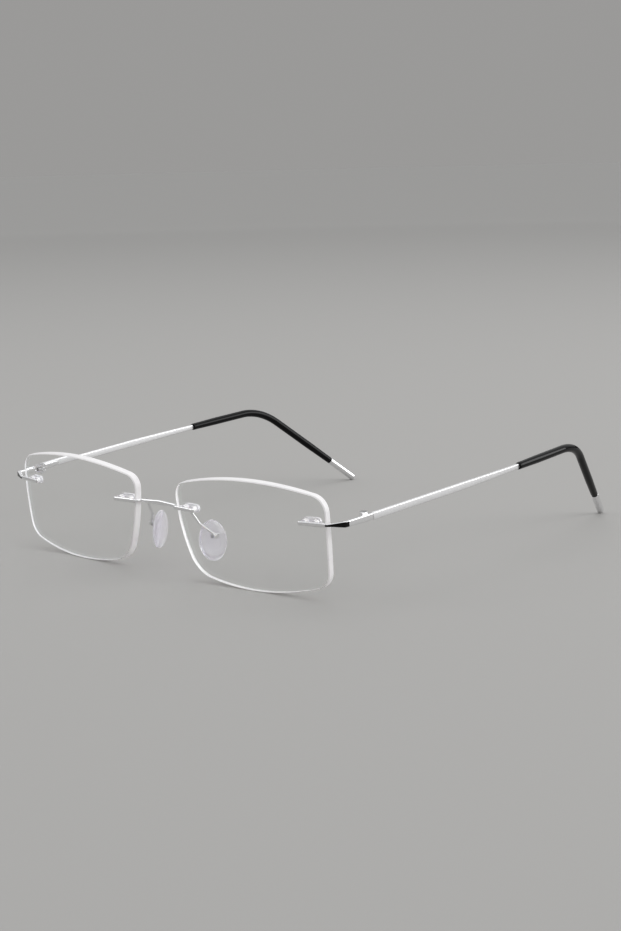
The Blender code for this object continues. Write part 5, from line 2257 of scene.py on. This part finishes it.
@dataclass(frozen=True)
class Studio:
    """A pale floor, a pale room that is brighter overhead, dark walls for the metal, and softboxes."""

    floor_color: Color = (0.40, 0.394, 0.384)
    floor_radius: float = 6.0
    floor_drop: float = 0.00002
    floor_sides: int = 96
    floor_roughness: float = 0.75
    floor_gloss: float = 0.25
    horizon: Color = (0.325, 0.321, 0.316)
    zenith: Color = (0.78, 0.785, 0.79)
    sky_rise: Pair = (0.08, 0.45)
    wall_color: Color = (0.03, 0.03, 0.03)
    wall_roughness: float = 0.9
    wall_gloss: float = 0.5
    wall_sides: int = 64
    wall_radius: float = 2.0
    wall_low: float = 0.10
    wall_high: float = 0.32

    def build(self) -> None:
        """Sets up the room, the lamps and the view settings."""
        self.floor()
        self.walls()
        self.room()
        aim = Vector((0.0, 0.0, 0.02))
        for box in (Softbox("overhead", Vector((-0.25, 0.35, 1.15)), aim, 0.9, 0.7, 2.2),
                    Softbox("right_back", Vector((1.0, 0.8, 0.46)), aim, 1.1, 0.75, 8.5),
                    Softbox("front_left", Vector((-0.9, -0.75, 0.75)), aim, 0.5, 0.5, 1.5)):
            box.place()
        bpy.context.scene.view_settings.view_transform = "Standard"

    @staticmethod
    def plain(name: str, color: Color, roughness: float, gloss: float) -> Material:
        """A plain material.

        Args:
            name: Its name.
            color: Its colour.
            roughness: Its roughness.
            gloss: Its specular level.

        Returns:
            The material.
        """
        material = bpy.data.materials.new(name)
        material.use_nodes = True
        shader = material.node_tree.nodes["Principled BSDF"]
        shader.inputs["Base Color"].default_value = (*color, 1.0)
        shader.inputs["Roughness"].default_value = roughness
        shader.inputs["Specular IOR Level"].default_value = gloss
        return material

    def floor(self) -> None:
        """The table top."""
        mesh = bpy.data.meshes.new("floor")
        ring = [(x, y, -self.floor_drop) for x, y in disc(self.floor_radius, self.floor_sides)(0.0)]
        mesh.from_pydata(ring, [], [tuple(range(self.floor_sides))])
        mesh.materials.append(self.plain("pale_floor", self.floor_color, self.floor_roughness, self.floor_gloss))
        floor = bpy.data.objects.new("floor", mesh)
        bpy.context.collection.objects.link(floor)

    def walls(self) -> None:
        """Dark walls round the table that only polished surfaces show."""
        mesh = bpy.data.meshes.new("dark_walls")
        points = [(x, y, level) for level in (self.wall_low, self.wall_high)
                  for x, y in disc(self.wall_radius, self.wall_sides)(0.0)]
        mesh.from_pydata(points, [], ring_walls(2, self.wall_sides))
        mesh.materials.append(self.plain("dark_wall", self.wall_color, self.wall_roughness, self.wall_gloss))
        walls = bpy.data.objects.new("dark_walls", mesh)
        bpy.context.collection.objects.link(walls)
        walls.visible_camera = walls.visible_diffuse = walls.visible_transmission = False
        walls.visible_shadow = False

    def room(self) -> None:
        """The light of the room, pale at the horizon and brighter overhead."""
        world = bpy.data.worlds.new("room")
        world.use_nodes = True
        bpy.context.scene.world = world
        maker = TreeMaker(world.node_tree)
        direction = maker.add("ShaderNodeTexCoord").outputs["Generated"]
        height = maker.add("ShaderNodeSeparateXYZ", {"Vector": direction}).outputs["Z"]
        share = maker.remap(height, self.sky_rise, (0.0, 1.0))
        mix = maker.add("ShaderNodeMix", {0: share, 6: (*self.horizon, 1.0), 7: (*self.zenith, 1.0)},
                        data_type="RGBA")
        background = world.node_tree.nodes["Background"]
        world.node_tree.links.new(mix.outputs[2], background.inputs["Color"])
        background.inputs["Strength"].default_value = 1.0


def main() -> None:
    """Loads the frame, builds every class in order, then sets up the studio and the camera."""
    logging.basicConfig(level=logging.INFO, format="%(message)s", stream=sys.stdout)
    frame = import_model()
    glasses = Glasses(frame)
    glasses.build_front()
    glasses.build_hinges()
    glasses.build_temples()
    glasses.build_pads()
    Studio().build()
    CameraStand().place()


if __name__ == "__main__":
    main()
